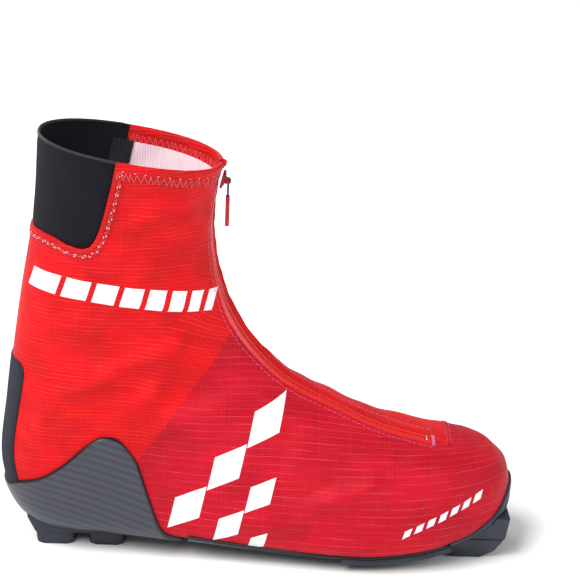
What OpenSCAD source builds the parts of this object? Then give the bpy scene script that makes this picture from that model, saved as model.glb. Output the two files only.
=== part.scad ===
// Cross country race boot, right foot: a zipped softshell gaiter over a laced inner boot,
// on a carbon sole and heel cup with a binding bar under the toe.
// Lengths are millimetres. Shapes are laid out from the heel (x = 0) and the ground (z = 0),
// and place() moves them so that the binding bar's centre is the origin.
// +X is the toe, +Y the medial side of this right boot, -Y the lateral side.

/* [Fabric and padding] */
// Thickness of the outer softshell
fabric_t = 1.2; // [0.8:0.1:1.2]
// Thickness of the stiffeners and linings behind it
lining_t = 0.7; // [0.5:0.1:0.8]
// Thickness of the padded inner boot
padding_t = 4; // [3:0.5:4]
// Thickness of the footbed
footbed_t = 3.5; // [2:0.5:4]
// Thickness of the tongue
tongue_t = 3; // [2:0.5:3]

/* [Sole] */
// Thickness of the carbon sole plate
plate_t = 1.6; // [1:0.1:1.6]
// Thickness of the carbon heel cup
cup_t = 2.2; // [1.5:0.1:2.2]
// Thickness of the rubber sole under the ball of the foot
tread_t = 2.6; // [1.5:0.1:3]
// Height of the rubber heel lugs
lug_h = 7; // [5:0.5:7]
// Distance of each binding guide groove from the middle
groove_y = 15; // [14.5:0.5:16]
// Width of a guide groove
groove_w = 6; // [5:0.5:6]
// Depth of a guide groove
groove_h = 4.5; // [3:0.5:4.5]

/* [Binding bar] */
// Radius of the steel bar
bar_r = 2.25; // [2:0.05:2.5]
// Free length of the bar between the sides of its recess
bar_free = 20; // [18:1:22]
// Length of the bar held in the toe block on each side
bar_held = 8; // [6:0.5:8]
// Height of the bar's centre over the ground
bar_z = 8; // [7.5:0.1:8]
// Distance of the bar from the heel
bar_x = 266; // [264:1:267]

/* [Zip] */
// Half the width of the slot that the zip fills
slot_half = 4.5; // [4:0.1:5]
// Radius of the arc that the zip follows over the instep
instep_r = 105; // [105:1:105]
// Width of the slider
slider_w = 8.4; // [7:0.2:8.4]
// Length of the slider
slider_l = 10; // [8:0.5:10]
// Length of the moulded pull tab
tab_l = 17; // [12:1:20]

/* [Lacing] */
// Radius of the inner lace
lace_r = 1.2; // [1:0.1:1.3]
// Distance between the two strands in the lace lock
strand_gap = 6; // [5.9:0.1:6.1]
// Travel of the lock's button
button_travel = 2; // [1:0.5:2]

/* [Hidden] */
red = [0.83, 0.08, 0.11];
dark_red = [0.62, 0.05, 0.13];
black = [0.05, 0.05, 0.06];
carbon = [0.22, 0.23, 0.25];
steel = [0.7, 0.7, 0.72];
gap = 0.15;

// The instep arc: the front of the boot from the collar to the middle of the foot
arc_x = 217;
arc_z = 187;
// The slider's own track is the arc that fits the zip line over its whole travel
track_x = 216.1;
track_z = 184.7;
track_r = 104.4;
zip_lean = 0.1;
collar_z = 219;
function on_arc(a) = [arc_x + instep_r * cos(a), arc_z + instep_r * sin(a)];
function zip_y(z) = -1 - zip_lean * (collar_z - z);

// Cross-sections from the toe tip to the collar. Each lies in the plane through its top or
// front point and its bottom or back point:
// [top x, z], [bottom x, z], [lateral and medial half width, middle y, place of the widest
// point from the top, roundness of the top and of the bottom]
SECTIONS = [
    concat([285.5, 36], [285, 29], [3, 3, 8, 0.50, 2.0, 2.0]),
    concat([282, 49], [281, 21], [20, 16, 7, 0.60, 2.1, 2.6]),
    concat([273, 58], [272, 16], [33, 26, 6, 0.64, 2.3, 3.2]),
    concat([258, 64], [256, 11], [43, 34, 4, 0.66, 2.4, 3.6]),
    concat([236, 69], [234, 7], [51, 39, 2, 0.70, 2.4, 3.8]),
    concat([209, 76], [206, 5], [54, 43, 0, 0.72, 2.2, 4.0]),
    concat(on_arc(250.5), [176, 5], [52, 42, -1, 0.72, 2.1, 4.0]),
    concat(on_arc(235), [142, 6], [47, 39, -1, 0.72, 2.1, 4.0]),
    concat(on_arc(221), [103, 8], [42, 36, -1, 0.68, 2.1, 4.2]),
    concat(on_arc(209), [58, 10], [37, 36, 0, 0.58, 2.2, 4.4]),
    concat(on_arc(199.5), [18, 14], [36, 36, 0, 0.50, 2.3, 3.6]),
    concat(on_arc(191), [0, 42], [37, 37, 0, 0.50, 2.3, 2.6]),
    concat(on_arc(183), [2, 85], [36, 36, 0, 0.50, 2.2, 2.3]),
    concat(on_arc(176), [8, 140], [36, 36, 0, 0.50, 2.2, 2.2]),
    concat(on_arc(169), [15, 190], [39, 39, 0, 0.50, 2.2, 2.2]),
    concat(on_arc(162), [17, 234], [43, 43, 0, 0.50, 2.2, 2.2])];
LAST = len(SECTIONS) - 1;

function blend4(a, b, c, d, f) = 0.5 * (2 * b + (c - a) * f + (2 * a - 5 * b + 4 * c - d) * f * f
    + (3 * b - a - 3 * c + d) * f * f * f);
function section(t) = let (
    i = min(max(floor(t), 0), LAST - 1),
    b = SECTIONS[i],
    c = SECTIONS[i + 1],
    a = i > 0 ? SECTIONS[i - 1] : 2 * b - c,
    d = i < LAST - 1 ? SECTIONS[i + 2] : 2 * c - b)
    blend4(a, b, c, d, t - i);

// Point of a section at an angle: 0 is the front or top, 90 lateral, 180 the back or bottom
function round_power(v, n) = sign(v) * pow(abs(v), 2 / n);
function section_point(k, angle) = let (
    c = cos(angle),
    s = sin(angle),
    n = c > 0 ? k[8] : k[9],
    across = round_power(s, n),
    down = c > 0 ? k[7] * (1 - round_power(c, n)) : k[7] - (1 - k[7]) * round_power(c, n))
    [k[0] + (k[2] - k[0]) * down,
     k[6] - (s > 0 ? k[4] : k[5]) * across,
     k[1] + (k[3] - k[1]) * down];

// Point at a distance d outside the surface (inside where d is negative)
t_step = 0.02;
a_step = 1;
function skin(t, angle, d) = let (
    k = section(t),
    up = section_point(section(t + t_step), angle) - section_point(section(t - t_step), angle),
    round = section_point(k, angle + a_step) - section_point(k, angle - a_step),
    normal = cross(up, round))
    section_point(k, angle) + d * normal / norm(normal);

// The zip line, and a grid of angles that starts at the edges of its slot
ZIP_END = 3.5;
CELLS = 10;
DEG = 180 / PI;
function zip_angle(t) = let (k = section(max(t, ZIP_END)))
    asin(pow((k[6] - zip_y(k[1])) / k[4], k[8] / 2));
function slot_angle(t) = t <= ZIP_END ? 0.3 : slot_half / section(t)[4] * DEG;
function grid_angle(t, side, j) = let (start = zip_angle(t) + side * slot_angle(t))
    start + (180 * side - start) * j / CELLS;
function grid_point(t, side, j, d) = skin(t, grid_angle(t, side, j), d);
function lateral_row(t, from, to, d) = [for (j = [from : to]) grid_point(t, 1, j, d)];
function medial_row(t, from, to, d) = [for (j = [from : -1 : to]) grid_point(t, -1, j, d)];
function steps(from, to) = [for (i = [0 : round((to - from) * 2)]) from + i / 2];

// Rows of points round the whole boot, over its top, under its bottom, or on one side
function loop_rows(ts, d) = [for (t = ts)
    concat(lateral_row(t, 0, CELLS, d), medial_row(t, CELLS - 1, 0, d))];
function top_rows(ts, reach, d) = [for (t = ts)
    concat(medial_row(t, reach, 0, d), lateral_row(t, 0, reach, d))];
function under_rows(ts, from, d) = [for (t = ts)
    concat(lateral_row(t, from, CELLS, d), medial_row(t, CELLS - 1, from, d))];
function lateral_rows(ts, from, to, d) = [for (t = ts) lateral_row(t, from, to, d)];
function medial_rows(ts, from, to, d) = [for (t = ts) medial_row(t, to, from, d)];
function slot_rows(ts, from, to, d) = [for (t = ts)
    [for (f = [from, (from + to) / 2, to]) skin(t, zip_angle(t) + f * slot_angle(t), d)]];

// A closed solid between two grids of points: outer faces away from the foot
module shell(outer, inner, wrap = false, cap = false) {
    rows = len(outer);
    cols = len(outer[0]);
    n = rows * cols;
    last = rows - 1;
    spans = wrap ? cols : cols - 1;
    points = concat([for (r = outer) each r], [for (r = inner) each r]);
    function at(i, j) = i * cols + j % cols;
    skins = [for (i = [0 : last - 1], j = [0 : spans - 1])
        let (a = at(i, j), b = at(i, j + 1), c = at(i + 1, j + 1), d = at(i + 1, j))
        each [[a, b, c], [a, c, d], [n + a, n + c, n + b], [n + a, n + d, n + c]]];
    start = [for (j = [0 : spans - 1]) let (a = at(0, j), b = at(0, j + 1))
        each [[b, a, n + a], [b, n + a, n + b]]];
    caps = [for (j = [1 : cols - 2]) each [[0, j + 1, j], [n, n + j, n + j + 1]]];
    end = [for (j = [0 : spans - 1]) let (d = at(last, j), c = at(last, j + 1))
        each [[d, c, n + d], [c, n + c, n + d]]];
    sides = [for (i = [0 : last - 1])
        let (a = at(i, 0), d = at(i + 1, 0), b = at(i, cols - 1), c = at(i + 1, cols - 1))
        each [[a, d, n + d], [a, n + d, n + a], [c, b, n + c], [b, n + b, n + c]]];
    polyhedron(points, concat(skins, end, cap ? caps : start, wrap ? [] : sides), 4);
}

// Faceted shapes are cut and joined as meshes
module as_mesh() resize([0, 0, 0]) children();
module place() translate([-bar_x, 0, -bar_z]) children();
module across(half = 80) rotate([90, 0, 0]) linear_extrude(2 * half, center = true) children();

// Regions seen from the side
ELASTIC_EDGE = [[-40, 184], [20, 182], [36, 178], [44, 177], [49, 180], [53, 189],
    [57, 205], [60, 220], [62, 260], [-40, 260]];
CUP_EDGE = [[-20, 40], [3, 36], [11, 40], [23, 45], [35, 54], [44, 63], [50, 68], [56, 71],
    [64, 70], [70, 64], [75, 57], [79, 46], [84, 32], [88, 21], [93, 14], [103, 8], [104, -20],
    [-20, -20]];
module elastic_zone(grow = 0) across() offset(delta = grow) polygon(ELASTIC_EDGE);
module cup_zone(grow = 0) across() offset(delta = grow) polygon(CUP_EDGE);
module slice(from, to) translate([from, -80, -20]) cube([to - from, 160, 300]);

// Depths of the layers behind the outer fabric
lining_in = -(fabric_t + gap);
lining_out = lining_in - lining_t;
boot_in = lining_out - gap;
boot_out = boot_in - padding_t;
bed_in = boot_out - gap;
bed_out = bed_in - footbed_t;
tongue_in = -10.4;
tongue_out = tongue_in - tongue_t;
plate_out = gap + plate_t;
tread_in = plate_out + gap;
cup_out = gap + cup_t;
under_max = 30;
SOLE_J = 7;

module binding_bar() color(steel) place()
    translate([bar_x, 0, bar_z]) rotate([90, 0, 0])
        cylinder(r = bar_r, h = bar_free + 2 * bar_held, center = true, $fn = 48);

// Everything under the sole plate, to be cut by a block's own outline
module below(ts, d) shell(under_rows(ts, SOLE_J - 1, under_max), under_rows(ts, SOLE_J - 1, d));
module grooves(from, to) for (side = [-1, 1])
    translate([from, side * groove_y - groove_w / 2, -1]) cube([to - from, groove_w, groove_h + 1]);

BLOCK_X = 249;
BLOCK_EDGE = [[BLOCK_X, 1], [BLOCK_X + 2, 0], [268, 0], [276, 4], [282, 12], [284, 21],
    [BLOCK_X, 21]];
block_half = 24;
recess_from = 257;
module toe_block() color(black) place() as_mesh() difference() {
    intersection() {
        below(steps(0.5, 4), tread_in);
        across(block_half) polygon(BLOCK_EDGE);
    }
    translate([recess_from, -bar_free / 2, -1]) cube([40, bar_free, 13]);
    translate([bar_x, 0, bar_z]) rotate([90, 0, 0])
        cylinder(r = bar_r + 0.05, h = bar_free + 2 * bar_held + 0.1, center = true, $fn = 24);
    grooves(BLOCK_X - 1, 290);
}

TREAD_X = 192;
module forefoot_tread() color(black) place() as_mesh() difference() {
    intersection() {
        shell(under_rows(steps(2, 6), SOLE_J, tread_in + tread_t),
            under_rows(steps(2, 6), SOLE_J, tread_in));
        slice(TREAD_X, BLOCK_X - gap);
    }
    for (side = [-1, 1]) translate([TREAD_X - 1, side * groove_y - groove_w / 2, -10])
        cube([60, groove_w, 12]);
}

PLATE_X = 104.3;
module sole_plate() color(carbon) place() as_mesh() intersection() {
    shell(under_rows(steps(0.5, 8.5), SOLE_J, plate_out),
        under_rows(steps(0.5, 8.5), SOLE_J, gap));
    slice(PLATE_X, 300);
}

module heel_cup() color(carbon) place() as_mesh() intersection() {
    shell(under_rows(steps(7.5, 12), 3, cup_out), under_rows(steps(7.5, 12), 3, gap));
    cup_zone();
}

BASE_EDGE = [[19, lug_h + 0.1], [70, lug_h + 0.1], [74, 9], [74, 40], [14, 40], [14, 16]];
base_half = 21;
module heel_base() color(black) place() as_mesh() intersection() {
    below(steps(8, 11.5), cup_out + gap);
    across(base_half) polygon(BASE_EDGE);
}

module lug(from, to, half) difference() {
    translate([(from + to) / 2, 0, 0]) linear_extrude(lug_h)
        offset(3, $fn = 32) square([to - from - 6, 2 * half - 6], center = true);
    grooves(from - 1, to + 1);
}
module heel_lug_rear() color(black) place() lug(19, 41, 20);
module heel_lug_front() color(black) place() lug(48, 69, 20);

RAND_EDGE = [[200, 10], [252, 16], [266, 21], [276, 28], [282, 36], [290, 50], [300, 100],
    [200, 100]];
RAND_T = concat([0.45], steps(1, 4.5));
RAND_J = [6.85, 8, 9];
function sole_cut(d) = [for (t = RAND_T) concat([for (j = RAND_J) grid_point(t, 1, j, d)],
    [for (i = [2 : -1 : 0]) grid_point(t, -1, RAND_J[i], d)])];
module toe_rand() color(black) place() as_mesh() difference() {
    shell(loop_rows(steps(0, 4), 1.7), loop_rows(steps(0, 4), gap), true, true);
    shell(sole_cut(5), sole_cut(-1));
    across() polygon(RAND_EDGE);
    slice(200, BLOCK_X);
}

module lasting_board() color([0.75, 0.7, 0.6]) place() shell(
    under_rows(steps(1.5, 10), SOLE_J, lining_in), under_rows(steps(1.5, 10), SOLE_J, lining_out));

module footbed() color([0.2, 0.2, 0.22]) place() shell(
    under_rows(steps(2, 9.5), SOLE_J + 1, bed_in), under_rows(steps(2, 9.5), SOLE_J + 1, bed_out));

THROAT_T = 4;
INNER_TOP = 13;
module inner_boot() color([0.25, 0.25, 0.28]) place() as_mesh() union() {
    shell(loop_rows(steps(1, THROAT_T), boot_in), loop_rows(steps(1, THROAT_T), boot_out),
        true, true);
    shell(under_rows(steps(THROAT_T, INNER_TOP), 2, boot_in),
        under_rows(steps(THROAT_T, INNER_TOP), 2, boot_out));
}

module ankle_pads() color([0.15, 0.15, 0.17]) place() {
    shell(lateral_rows(steps(10.5, 12), 5, 8, bed_in), lateral_rows(steps(10.5, 12), 5, 8, bed_out));
    shell(medial_rows(steps(10.5, 12), 5, 8, bed_in), medial_rows(steps(10.5, 12), 5, 8, bed_out));
}

module tongue() color([0.3, 0.3, 0.33]) place()
    shell(top_rows(steps(4.5, 13), 3, tongue_in), top_rows(steps(4.5, 13), 3, tongue_out));

module toe_puff() color([0.85, 0.83, 0.78]) place()
    shell(top_rows(steps(0.5, 2.5), 5, lining_in), top_rows(steps(0.5, 2.5), 5, lining_out));

module outer_lateral() color(red) place() as_mesh() difference() {
    union() {
        shell(loop_rows(steps(0, ZIP_END), 0), loop_rows(steps(0, ZIP_END), -fabric_t), true, true);
        shell(lateral_rows(steps(ZIP_END, LAST), 0, CELLS, 0),
            lateral_rows(steps(ZIP_END, LAST), 0, CELLS, -fabric_t));
    }
    elastic_zone();
}

module outer_medial() color(red) place() as_mesh() difference() {
    shell(medial_rows(steps(ZIP_END, LAST), 0, CELLS, 0),
        medial_rows(steps(ZIP_END, LAST), 0, CELLS, -fabric_t));
    elastic_zone();
}

module elastic_cuff() color(black) place() as_mesh() intersection() {
    shell(under_rows(steps(13, LAST), 3, 0), under_rows(steps(13, LAST), 3, -fabric_t));
    elastic_zone();
}

module cuff_seam_tape() color([0.3, 0.05, 0.07]) place() as_mesh() difference() {
    shell(under_rows(steps(13, LAST), 3, lining_in), under_rows(steps(13, LAST), 3, lining_out));
    elastic_zone(-5);
    across() difference() {
        translate([-60, 100]) square([200, 200]);
        offset(delta = 5) polygon(ELASTIC_EDGE);
    }
}

HEM_T = 14.7;
module hem_cut() elastic_zone(0.5);
module collar_hem_lateral() color(dark_red) place() as_mesh() difference() {
    shell(lateral_rows([HEM_T, LAST], 0, 6, gap + 0.6), lateral_rows([HEM_T, LAST], 0, 6, gap));
    hem_cut();
}
module collar_hem_medial() color(dark_red) place() as_mesh() difference() {
    shell(medial_rows([HEM_T, LAST], 0, 6, gap + 0.6), medial_rows([HEM_T, LAST], 0, 6, gap));
    hem_cut();
}

LINING_T = 13.5;
module shaft_lining() color([0.93, 0.85, 0.86]) place() as_mesh() difference() {
    union() {
        shell(lateral_rows(steps(LINING_T, LAST), 1, 6, lining_in),
            lateral_rows(steps(LINING_T, LAST), 1, 6, lining_out));
        shell(medial_rows(steps(LINING_T, LAST), 1, 6, lining_in),
            medial_rows(steps(LINING_T, LAST), 1, 6, lining_out));
    }
    elastic_zone(5.5);
}

module heel_stay() color(black) place() as_mesh() difference() {
    shell(under_rows(steps(10.5, 12.5), 8, 0.9), under_rows(steps(10.5, 12.5), 8, gap));
    cup_zone(0.4);
}

// Zip: tapes and coils fill the slot from its lower end to the collar
ZIP_T = concat(steps(4, 14.5), [14.85]);
coil_out = 0.6;
tape_out = -0.3;
zip_in = -1;
module slot_strip(from, to, high, low, ts = ZIP_T) place()
    shell(slot_rows(ts, from, to, high), slot_rows(ts, from, to, low));
module zip_tape_lateral() color(red) slot_strip(0.45, 0.95, tape_out, zip_in);
module zip_tape_medial() color(red) slot_strip(-0.95, -0.45, tape_out, zip_in);
module zip_coil_lateral() color(dark_red) slot_strip(0.02, 0.4, coil_out, zip_in);
module zip_coil_medial() color(dark_red) slot_strip(-0.4, -0.02, coil_out, zip_in);
module zip_top_stops() color(steel) {
    slot_strip(0.02, 0.5, 1.5, coil_out + 0.1, [14.78, 14.84]);
    slot_strip(-0.5, -0.02, 1.5, coil_out + 0.1, [14.78, 14.84]);
}
module zip_bottom_stop() color(steel) slot_strip(-0.5, 0.5, 1.4, coil_out + 0.1, [4.02, 4.12]);
module zip_garage() color(red) slot_strip(-1, 1, 2.2, 0.9, [14.87, LAST]);
module storm_flap() color([0.3, 0.04, 0.06]) place()
    shell(top_rows(steps(4, 13), 1, lining_in), top_rows(steps(4, 13), 1, lining_out));

// Lace: one cord, up from the lock, to and fro through the loops and back to the lock.
// Its crossings are [section, degrees from the middle of the lacing, depth]
lace_a = 4;
LACE = [
    [8.9, 15, -5.8], [8.7, 24, -6.2], [8.4, 16, -7.2], [8.1, 0, -7.6],
    [7.9, -16, -7.2], [7.7, -24, -6.2], [7.4, -16, -5.2], [7.1, 0, -4.9], [6.9, 16, -5.2],
    [6.7, 24, -6.2], [6.4, 16, -7.2], [6.1, 0, -7.6], [5.9, -16, -7.2], [5.7, -24, -6.2],
    [5.4, -16, -5.6], [5.2, 0, -5.2], [5.4, 16, -5.6], [5.7, 24, -6.2], [5.9, 16, -5.2],
    [6.1, 0, -4.9], [6.4, -16, -5.2], [6.7, -24, -6.2], [6.9, -16, -7.2], [7.1, 0, -7.6],
    [7.4, 16, -7.2], [7.7, 24, -6.2], [7.9, 16, -5.2], [8.1, 0, -4.9], [8.4, -16, -5.2],
    [8.7, -24, -6.2], [8.9, -15, -5.8]];
// Its two straight strands through the lock, by angle on the instep arc
lacing_y = -2.5;
lock_in = instep_r + 4.6;
lock_t = 5;
strand_r = lock_in + lock_t / 2;
STRAND_A = [184.2, 188, 192, 196, 200, 204, 206.5];
LACE_SIDES = 8;
function lace_point(p) = skin(p[0], lace_a + p[1], p[2]);
function along(list, s) = let (
    n = len(list) - 1,
    i = min(floor(s), n - 1),
    b = list[i],
    c = list[i + 1],
    a = i > 0 ? list[i - 1] : 2 * b - c,
    d = i < n - 1 ? list[i + 2] : 2 * c - b)
    blend4(a, b, c, d, s - i);
function unit(v) = v / norm(v);
// Rings square to the route, each turned as little as possible from the one before it
function lace_rings(path, i = 0, side = [0, 1, 0]) = i >= len(path) ? [] : let (
    ahead = unit(path[min(i + 1, len(path) - 1)] - path[max(i - 1, 0)]),
    u = unit(side - (side * ahead) * ahead),
    v = cross(ahead, u),
    ring = [for (k = [0 : LACE_SIDES - 1]) let (a = 360 * k / LACE_SIDES)
        path[i] + lace_r * (cos(a) * u + sin(a) * v)])
    concat([ring], lace_rings(path, i + 1, u));
module tube(rings) {
    n = len(rings);
    m = len(rings[0]);
    walls = [for (i = [0 : n - 2], k = [0 : m - 1])
        let (a = i * m + k, b = i * m + (k + 1) % m)
        each [[a, b + m, b], [a, a + m, b + m]]];
    ends = [[for (k = [0 : m - 1]) k], [for (k = [m - 1 : -1 : 0]) (n - 1) * m + k]];
    polyhedron([for (r = rings) each r], concat(walls, ends), 4);
}
function strand_point(a, side) = [arc_x + strand_r * cos(a), lacing_y + side * strand_gap / 2,
    arc_z + strand_r * sin(a)];
STRANDS = len(STRAND_A) - 1;
LACE_PATH = concat([for (a = STRAND_A) strand_point(a, -1)], [for (p = LACE) lace_point(p)],
    [for (i = [STRANDS : -1 : 0]) strand_point(STRAND_A[i], 1)]);
LACE_RINGS = 78;
module lace() color([0.1, 0.1, 0.12]) place() tube(lace_rings(
    [for (i = [0 : LACE_RINGS]) along(LACE_PATH, i * (len(LACE_PATH) - 1) / LACE_RINGS)]));

// Webbing loops at the edges of the lacing, each folded round the lace
LOOP_T = [5.7, 6.7, 7.7, 8.7];
LOOP_OUTER = [[22, -3.3], [31.5, -3.3], [31.5, -9.1], [22, -9.1]];
LOOP_INNER = [[22, -3.9], [30.7, -3.9], [30.7, -8.5], [22, -8.5]];
function loop_strip(t, side, fold) = [for (s = [-0.12, 0.12]) [for (i = [0 : 3])
    let (p = fold[side > 0 ? i : 3 - i]) skin(t + s, lace_a + side * p[0], p[1])]];
module lace_loops(side) place() for (t = LOOP_T)
    shell(loop_strip(t, side, LOOP_OUTER), loop_strip(t, side, LOOP_INNER));
module lace_loops_lateral() color(black) lace_loops(1);
module lace_loops_medial() color(black) lace_loops(-1);

// Parts on an arc: local x is the arc's radius, local y runs along the arc towards the toe
// and local z across the boot, towards lateral
module on_track() place() translate([track_x, zip_y(track_z), track_z])
    rotate([90 - atan(zip_lean), 0, 0]) children();
module on_lacing() place() translate([arc_x, lacing_y, arc_z]) rotate([90, 0, 0]) children();
module arc_piece(from, to) rotate([0, 0, from]) rotate_extrude(angle = to - from, $fn = 360)
    children();

GRIP = [180, 184];
module lace_grip() color(black) on_lacing() arc_piece(GRIP[0], GRIP[1])
    translate([lock_in, -6]) square([lock_t, 12]);

// Lace lock: a channel for each strand and a pocket in one side for the sprung button
LOCK = [197, 205];
lock_mid = (LOCK[0] + LOCK[1]) / 2;
lock_lateral = 6.5;
lock_medial = 9.5;
channel = 3.6;
button_l = 7;
button_h = 3;
button_t = 4;
pocket = 4.6;
module lace_lock_body() color(black) on_lacing() difference() {
    arc_piece(LOCK[0], LOCK[1]) difference() {
        translate([lock_in, -lock_medial]) square([lock_t, lock_medial + lock_lateral]);
        for (s = [-1, 1]) translate([strand_r, s * strand_gap / 2])
            square(channel, center = true);
    }
    rotate([0, 0, lock_mid]) translate([strand_r - button_h / 2 - 0.1, -button_l / 2 - 0.1,
        -lock_medial - 1]) cube([button_h + 0.2, button_l + 0.2, pocket + 1]);
}
spring_l = button_travel + 0.8;
module lace_lock_spring() color(steel) on_lacing() rotate([0, 0, lock_mid])
    translate([strand_r, 0, -lock_medial + pocket - spring_l + 0.02]) difference() {
        cylinder(r = 1.3, h = spring_l - 0.04, $fn = 32);
        translate([0, 0, -1]) cylinder(r = 0.9, h = spring_l + 2, $fn = 32);
    }
module lace_lock_button() color(red) on_lacing() rotate([0, 0, lock_mid])
    translate([strand_r - button_h / 2, -button_l / 2, -lock_medial + pocket - spring_l - button_t])
        cube([button_h, button_l, button_t]);

// Zip slider, drawn at the top of the zip, with ears that hold the pull's pin
SLIDER_A = 166;
slider_in = 1.7;
slider_t = 1.9;
pin_up = 5.4;
pin_r = 0.8;
ear_y = 3;
module at_slider() on_track() rotate([0, 0, SLIDER_A]) children();
module zip_slider() color(red) at_slider() {
    translate([track_r - slider_in - slider_t, -slider_l / 2, -slider_w / 2])
        cube([slider_t, slider_l, slider_w]);
    for (s = [-1, 1]) translate([track_r - pin_up - 1.4, -1.8, s * ear_y - 0.5])
        cube([pin_up - slider_in - slider_t + 1.5, 3.6, 1]);
    translate([track_r - pin_up, 0, 0])
        cylinder(r = pin_r, h = 2 * ear_y + 0.4, center = true, $fn = 32);
}

// Pull: a wire link on the slider's pin and a moulded tab, hanging straight down
hang = 90 + SLIDER_A;
link_l = 8;
link_w = 4.6;
module at_pin() at_slider() translate([track_r - pin_up, 0, 0]) rotate([0, 0, -hang]) children();
module pull_link() color(steel) at_pin() difference() {
    union() {
        cylinder(r = 1.7, h = link_w, center = true, $fn = 32);
        translate([0, -0.6, -link_w / 2]) cube([link_l, 1.2, link_w]);
    }
    cylinder(r = pin_r + 0.06, h = 10, center = true, $fn = 32);
}
module pull_tab() color(red) at_pin() translate([link_l + 0.02, -1.1, -3.2])
    cube([tab_l, 2.2, 6.4]);

binding_bar();
toe_block();
forefoot_tread();
sole_plate();
heel_cup();
heel_base();
heel_lug_rear();
heel_lug_front();
toe_rand();
lasting_board();
footbed();
inner_boot();
ankle_pads();
tongue();
toe_puff();
outer_lateral();
outer_medial();
elastic_cuff();
cuff_seam_tape();
collar_hem_lateral();
collar_hem_medial();
shaft_lining();
heel_stay();
zip_tape_lateral();
zip_tape_medial();
zip_coil_lateral();
zip_coil_medial();
zip_top_stops();
zip_bottom_stop();
zip_garage();
storm_flap();
lace();
lace_loops_lateral();
lace_loops_medial();
lace_grip();
lace_lock_body();
lace_lock_spring();
lace_lock_button();
zip_slider();
pull_link();
pull_tab();
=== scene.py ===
"""A right cross country ski boot: the looks of its pieces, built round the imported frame.

The boot's surface is a sweep of rings. A place on it is (t, angle): t runs from 0 at the toe
tip to 15 at the collar, and the angle is 0 on the front or top, 90 degrees on the lateral
side and 180 on the back or bottom. Depths are millimetres outside that surface. Shapes are
worked out in millimetres from the heel and the ground, and point() turns them into metres in
the shared frame.
"""
import math

import bmesh
import bpy
import numpy as np
from mathutils import Matrix, Vector


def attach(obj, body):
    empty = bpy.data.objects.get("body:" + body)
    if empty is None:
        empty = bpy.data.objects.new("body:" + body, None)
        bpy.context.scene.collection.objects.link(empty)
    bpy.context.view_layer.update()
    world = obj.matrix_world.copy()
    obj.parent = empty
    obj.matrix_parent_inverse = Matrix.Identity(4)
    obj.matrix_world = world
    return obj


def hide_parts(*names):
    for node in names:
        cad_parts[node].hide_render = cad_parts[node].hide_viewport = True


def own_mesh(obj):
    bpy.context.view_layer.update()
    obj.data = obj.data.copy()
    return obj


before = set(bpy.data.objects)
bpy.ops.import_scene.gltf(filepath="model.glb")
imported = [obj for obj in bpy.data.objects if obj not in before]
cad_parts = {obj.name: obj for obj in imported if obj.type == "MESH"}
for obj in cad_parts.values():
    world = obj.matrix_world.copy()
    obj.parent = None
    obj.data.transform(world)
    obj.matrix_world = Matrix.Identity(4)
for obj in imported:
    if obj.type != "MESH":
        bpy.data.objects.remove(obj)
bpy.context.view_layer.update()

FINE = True
MM = 0.001
BAR = np.array((266.0, 0.0, 8.0))
RNG = np.random.default_rng(7)


def camera():
    """The photograph's view: a long lens, a little behind and above the lateral side."""
    az, el, roll = (math.radians(v) for v in (-2.2486, 17.9524, 2.4301))
    back = Vector((math.sin(az) * math.cos(el), -math.cos(az) * math.cos(el), math.sin(el)))
    right = Vector((math.cos(az), math.sin(az), 0))
    up = back.cross(right)
    across = right * math.cos(roll) + up * math.sin(roll)
    upright = up * math.cos(roll) - right * math.sin(roll)
    distance = 1.2887
    place = Vector((-0.10998, 0, 0.13874)) + distance * back
    data = bpy.data.cameras.new("camera")
    data.lens = 145.24
    data.sensor_width = 36
    data.clip_end = 50
    cam = bpy.data.objects.new("camera", data)
    cam.matrix_world = Matrix([[across[i], upright[i], back[i], place[i]] for i in range(3)]
                              + [[0, 0, 0, 1]])
    bpy.context.scene.collection.objects.link(cam)
    bpy.context.scene.camera = cam


camera()

# ---------------------------------------------------------------- the boot's surface
ARC_X, ARC_Z, ARC_R = 217, 187, 105
COLLAR_Z = 219
ZIP_LEAN = 0.1
ZIP_END = 3.5
LAST = 15
TRACK_X, TRACK_Z, TRACK_R = 216.1, 184.7, 104.4


def on_circle(radius, degrees):
    a = math.radians(degrees)
    return radius * math.cos(a), radius * math.sin(a)


def on_arc(degrees, radius=ARC_R):
    """A place on the zip's arc over the instep, or on one about the same centre."""
    x, z = on_circle(radius, degrees)
    return [ARC_X + x, ARC_Z + z]


# Top x, z; bottom x, z; lateral and medial half width, middle y, place of the widest point
# from the top, roundness of the top and of the bottom
SECTIONS = np.array([
    [285.5, 36, 285, 29, 3, 3, 8, 0.50, 2.0, 2.0],
    [282, 49, 281, 21, 20, 16, 7, 0.60, 2.1, 2.6],
    [273, 58, 272, 16, 33, 26, 6, 0.64, 2.3, 3.2],
    [258, 64, 256, 11, 43, 34, 4, 0.66, 2.4, 3.6],
    [236, 69, 234, 7, 51, 39, 2, 0.70, 2.4, 3.8],
    [209, 76, 206, 5, 54, 43, 0, 0.72, 2.2, 4.0],
    on_arc(250.5) + [176, 5, 52, 42, -1, 0.72, 2.1, 4.0],
    on_arc(235) + [142, 6, 47, 39, -1, 0.72, 2.1, 4.0],
    on_arc(221) + [103, 8, 42, 36, -1, 0.68, 2.1, 4.2],
    on_arc(209) + [58, 10, 37, 36, 0, 0.58, 2.2, 4.4],
    on_arc(199.5) + [18, 14, 36, 36, 0, 0.50, 2.3, 3.6],
    on_arc(191) + [0, 42, 37, 37, 0, 0.50, 2.3, 2.6],
    on_arc(183) + [2, 85, 36, 36, 0, 0.50, 2.2, 2.3],
    on_arc(176) + [8, 140, 36, 36, 0, 0.50, 2.2, 2.2],
    on_arc(169) + [15, 190, 39, 39, 0, 0.50, 2.2, 2.2],
    on_arc(162) + [17, 234, 43, 43, 0, 0.50, 2.2, 2.2]])


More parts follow.
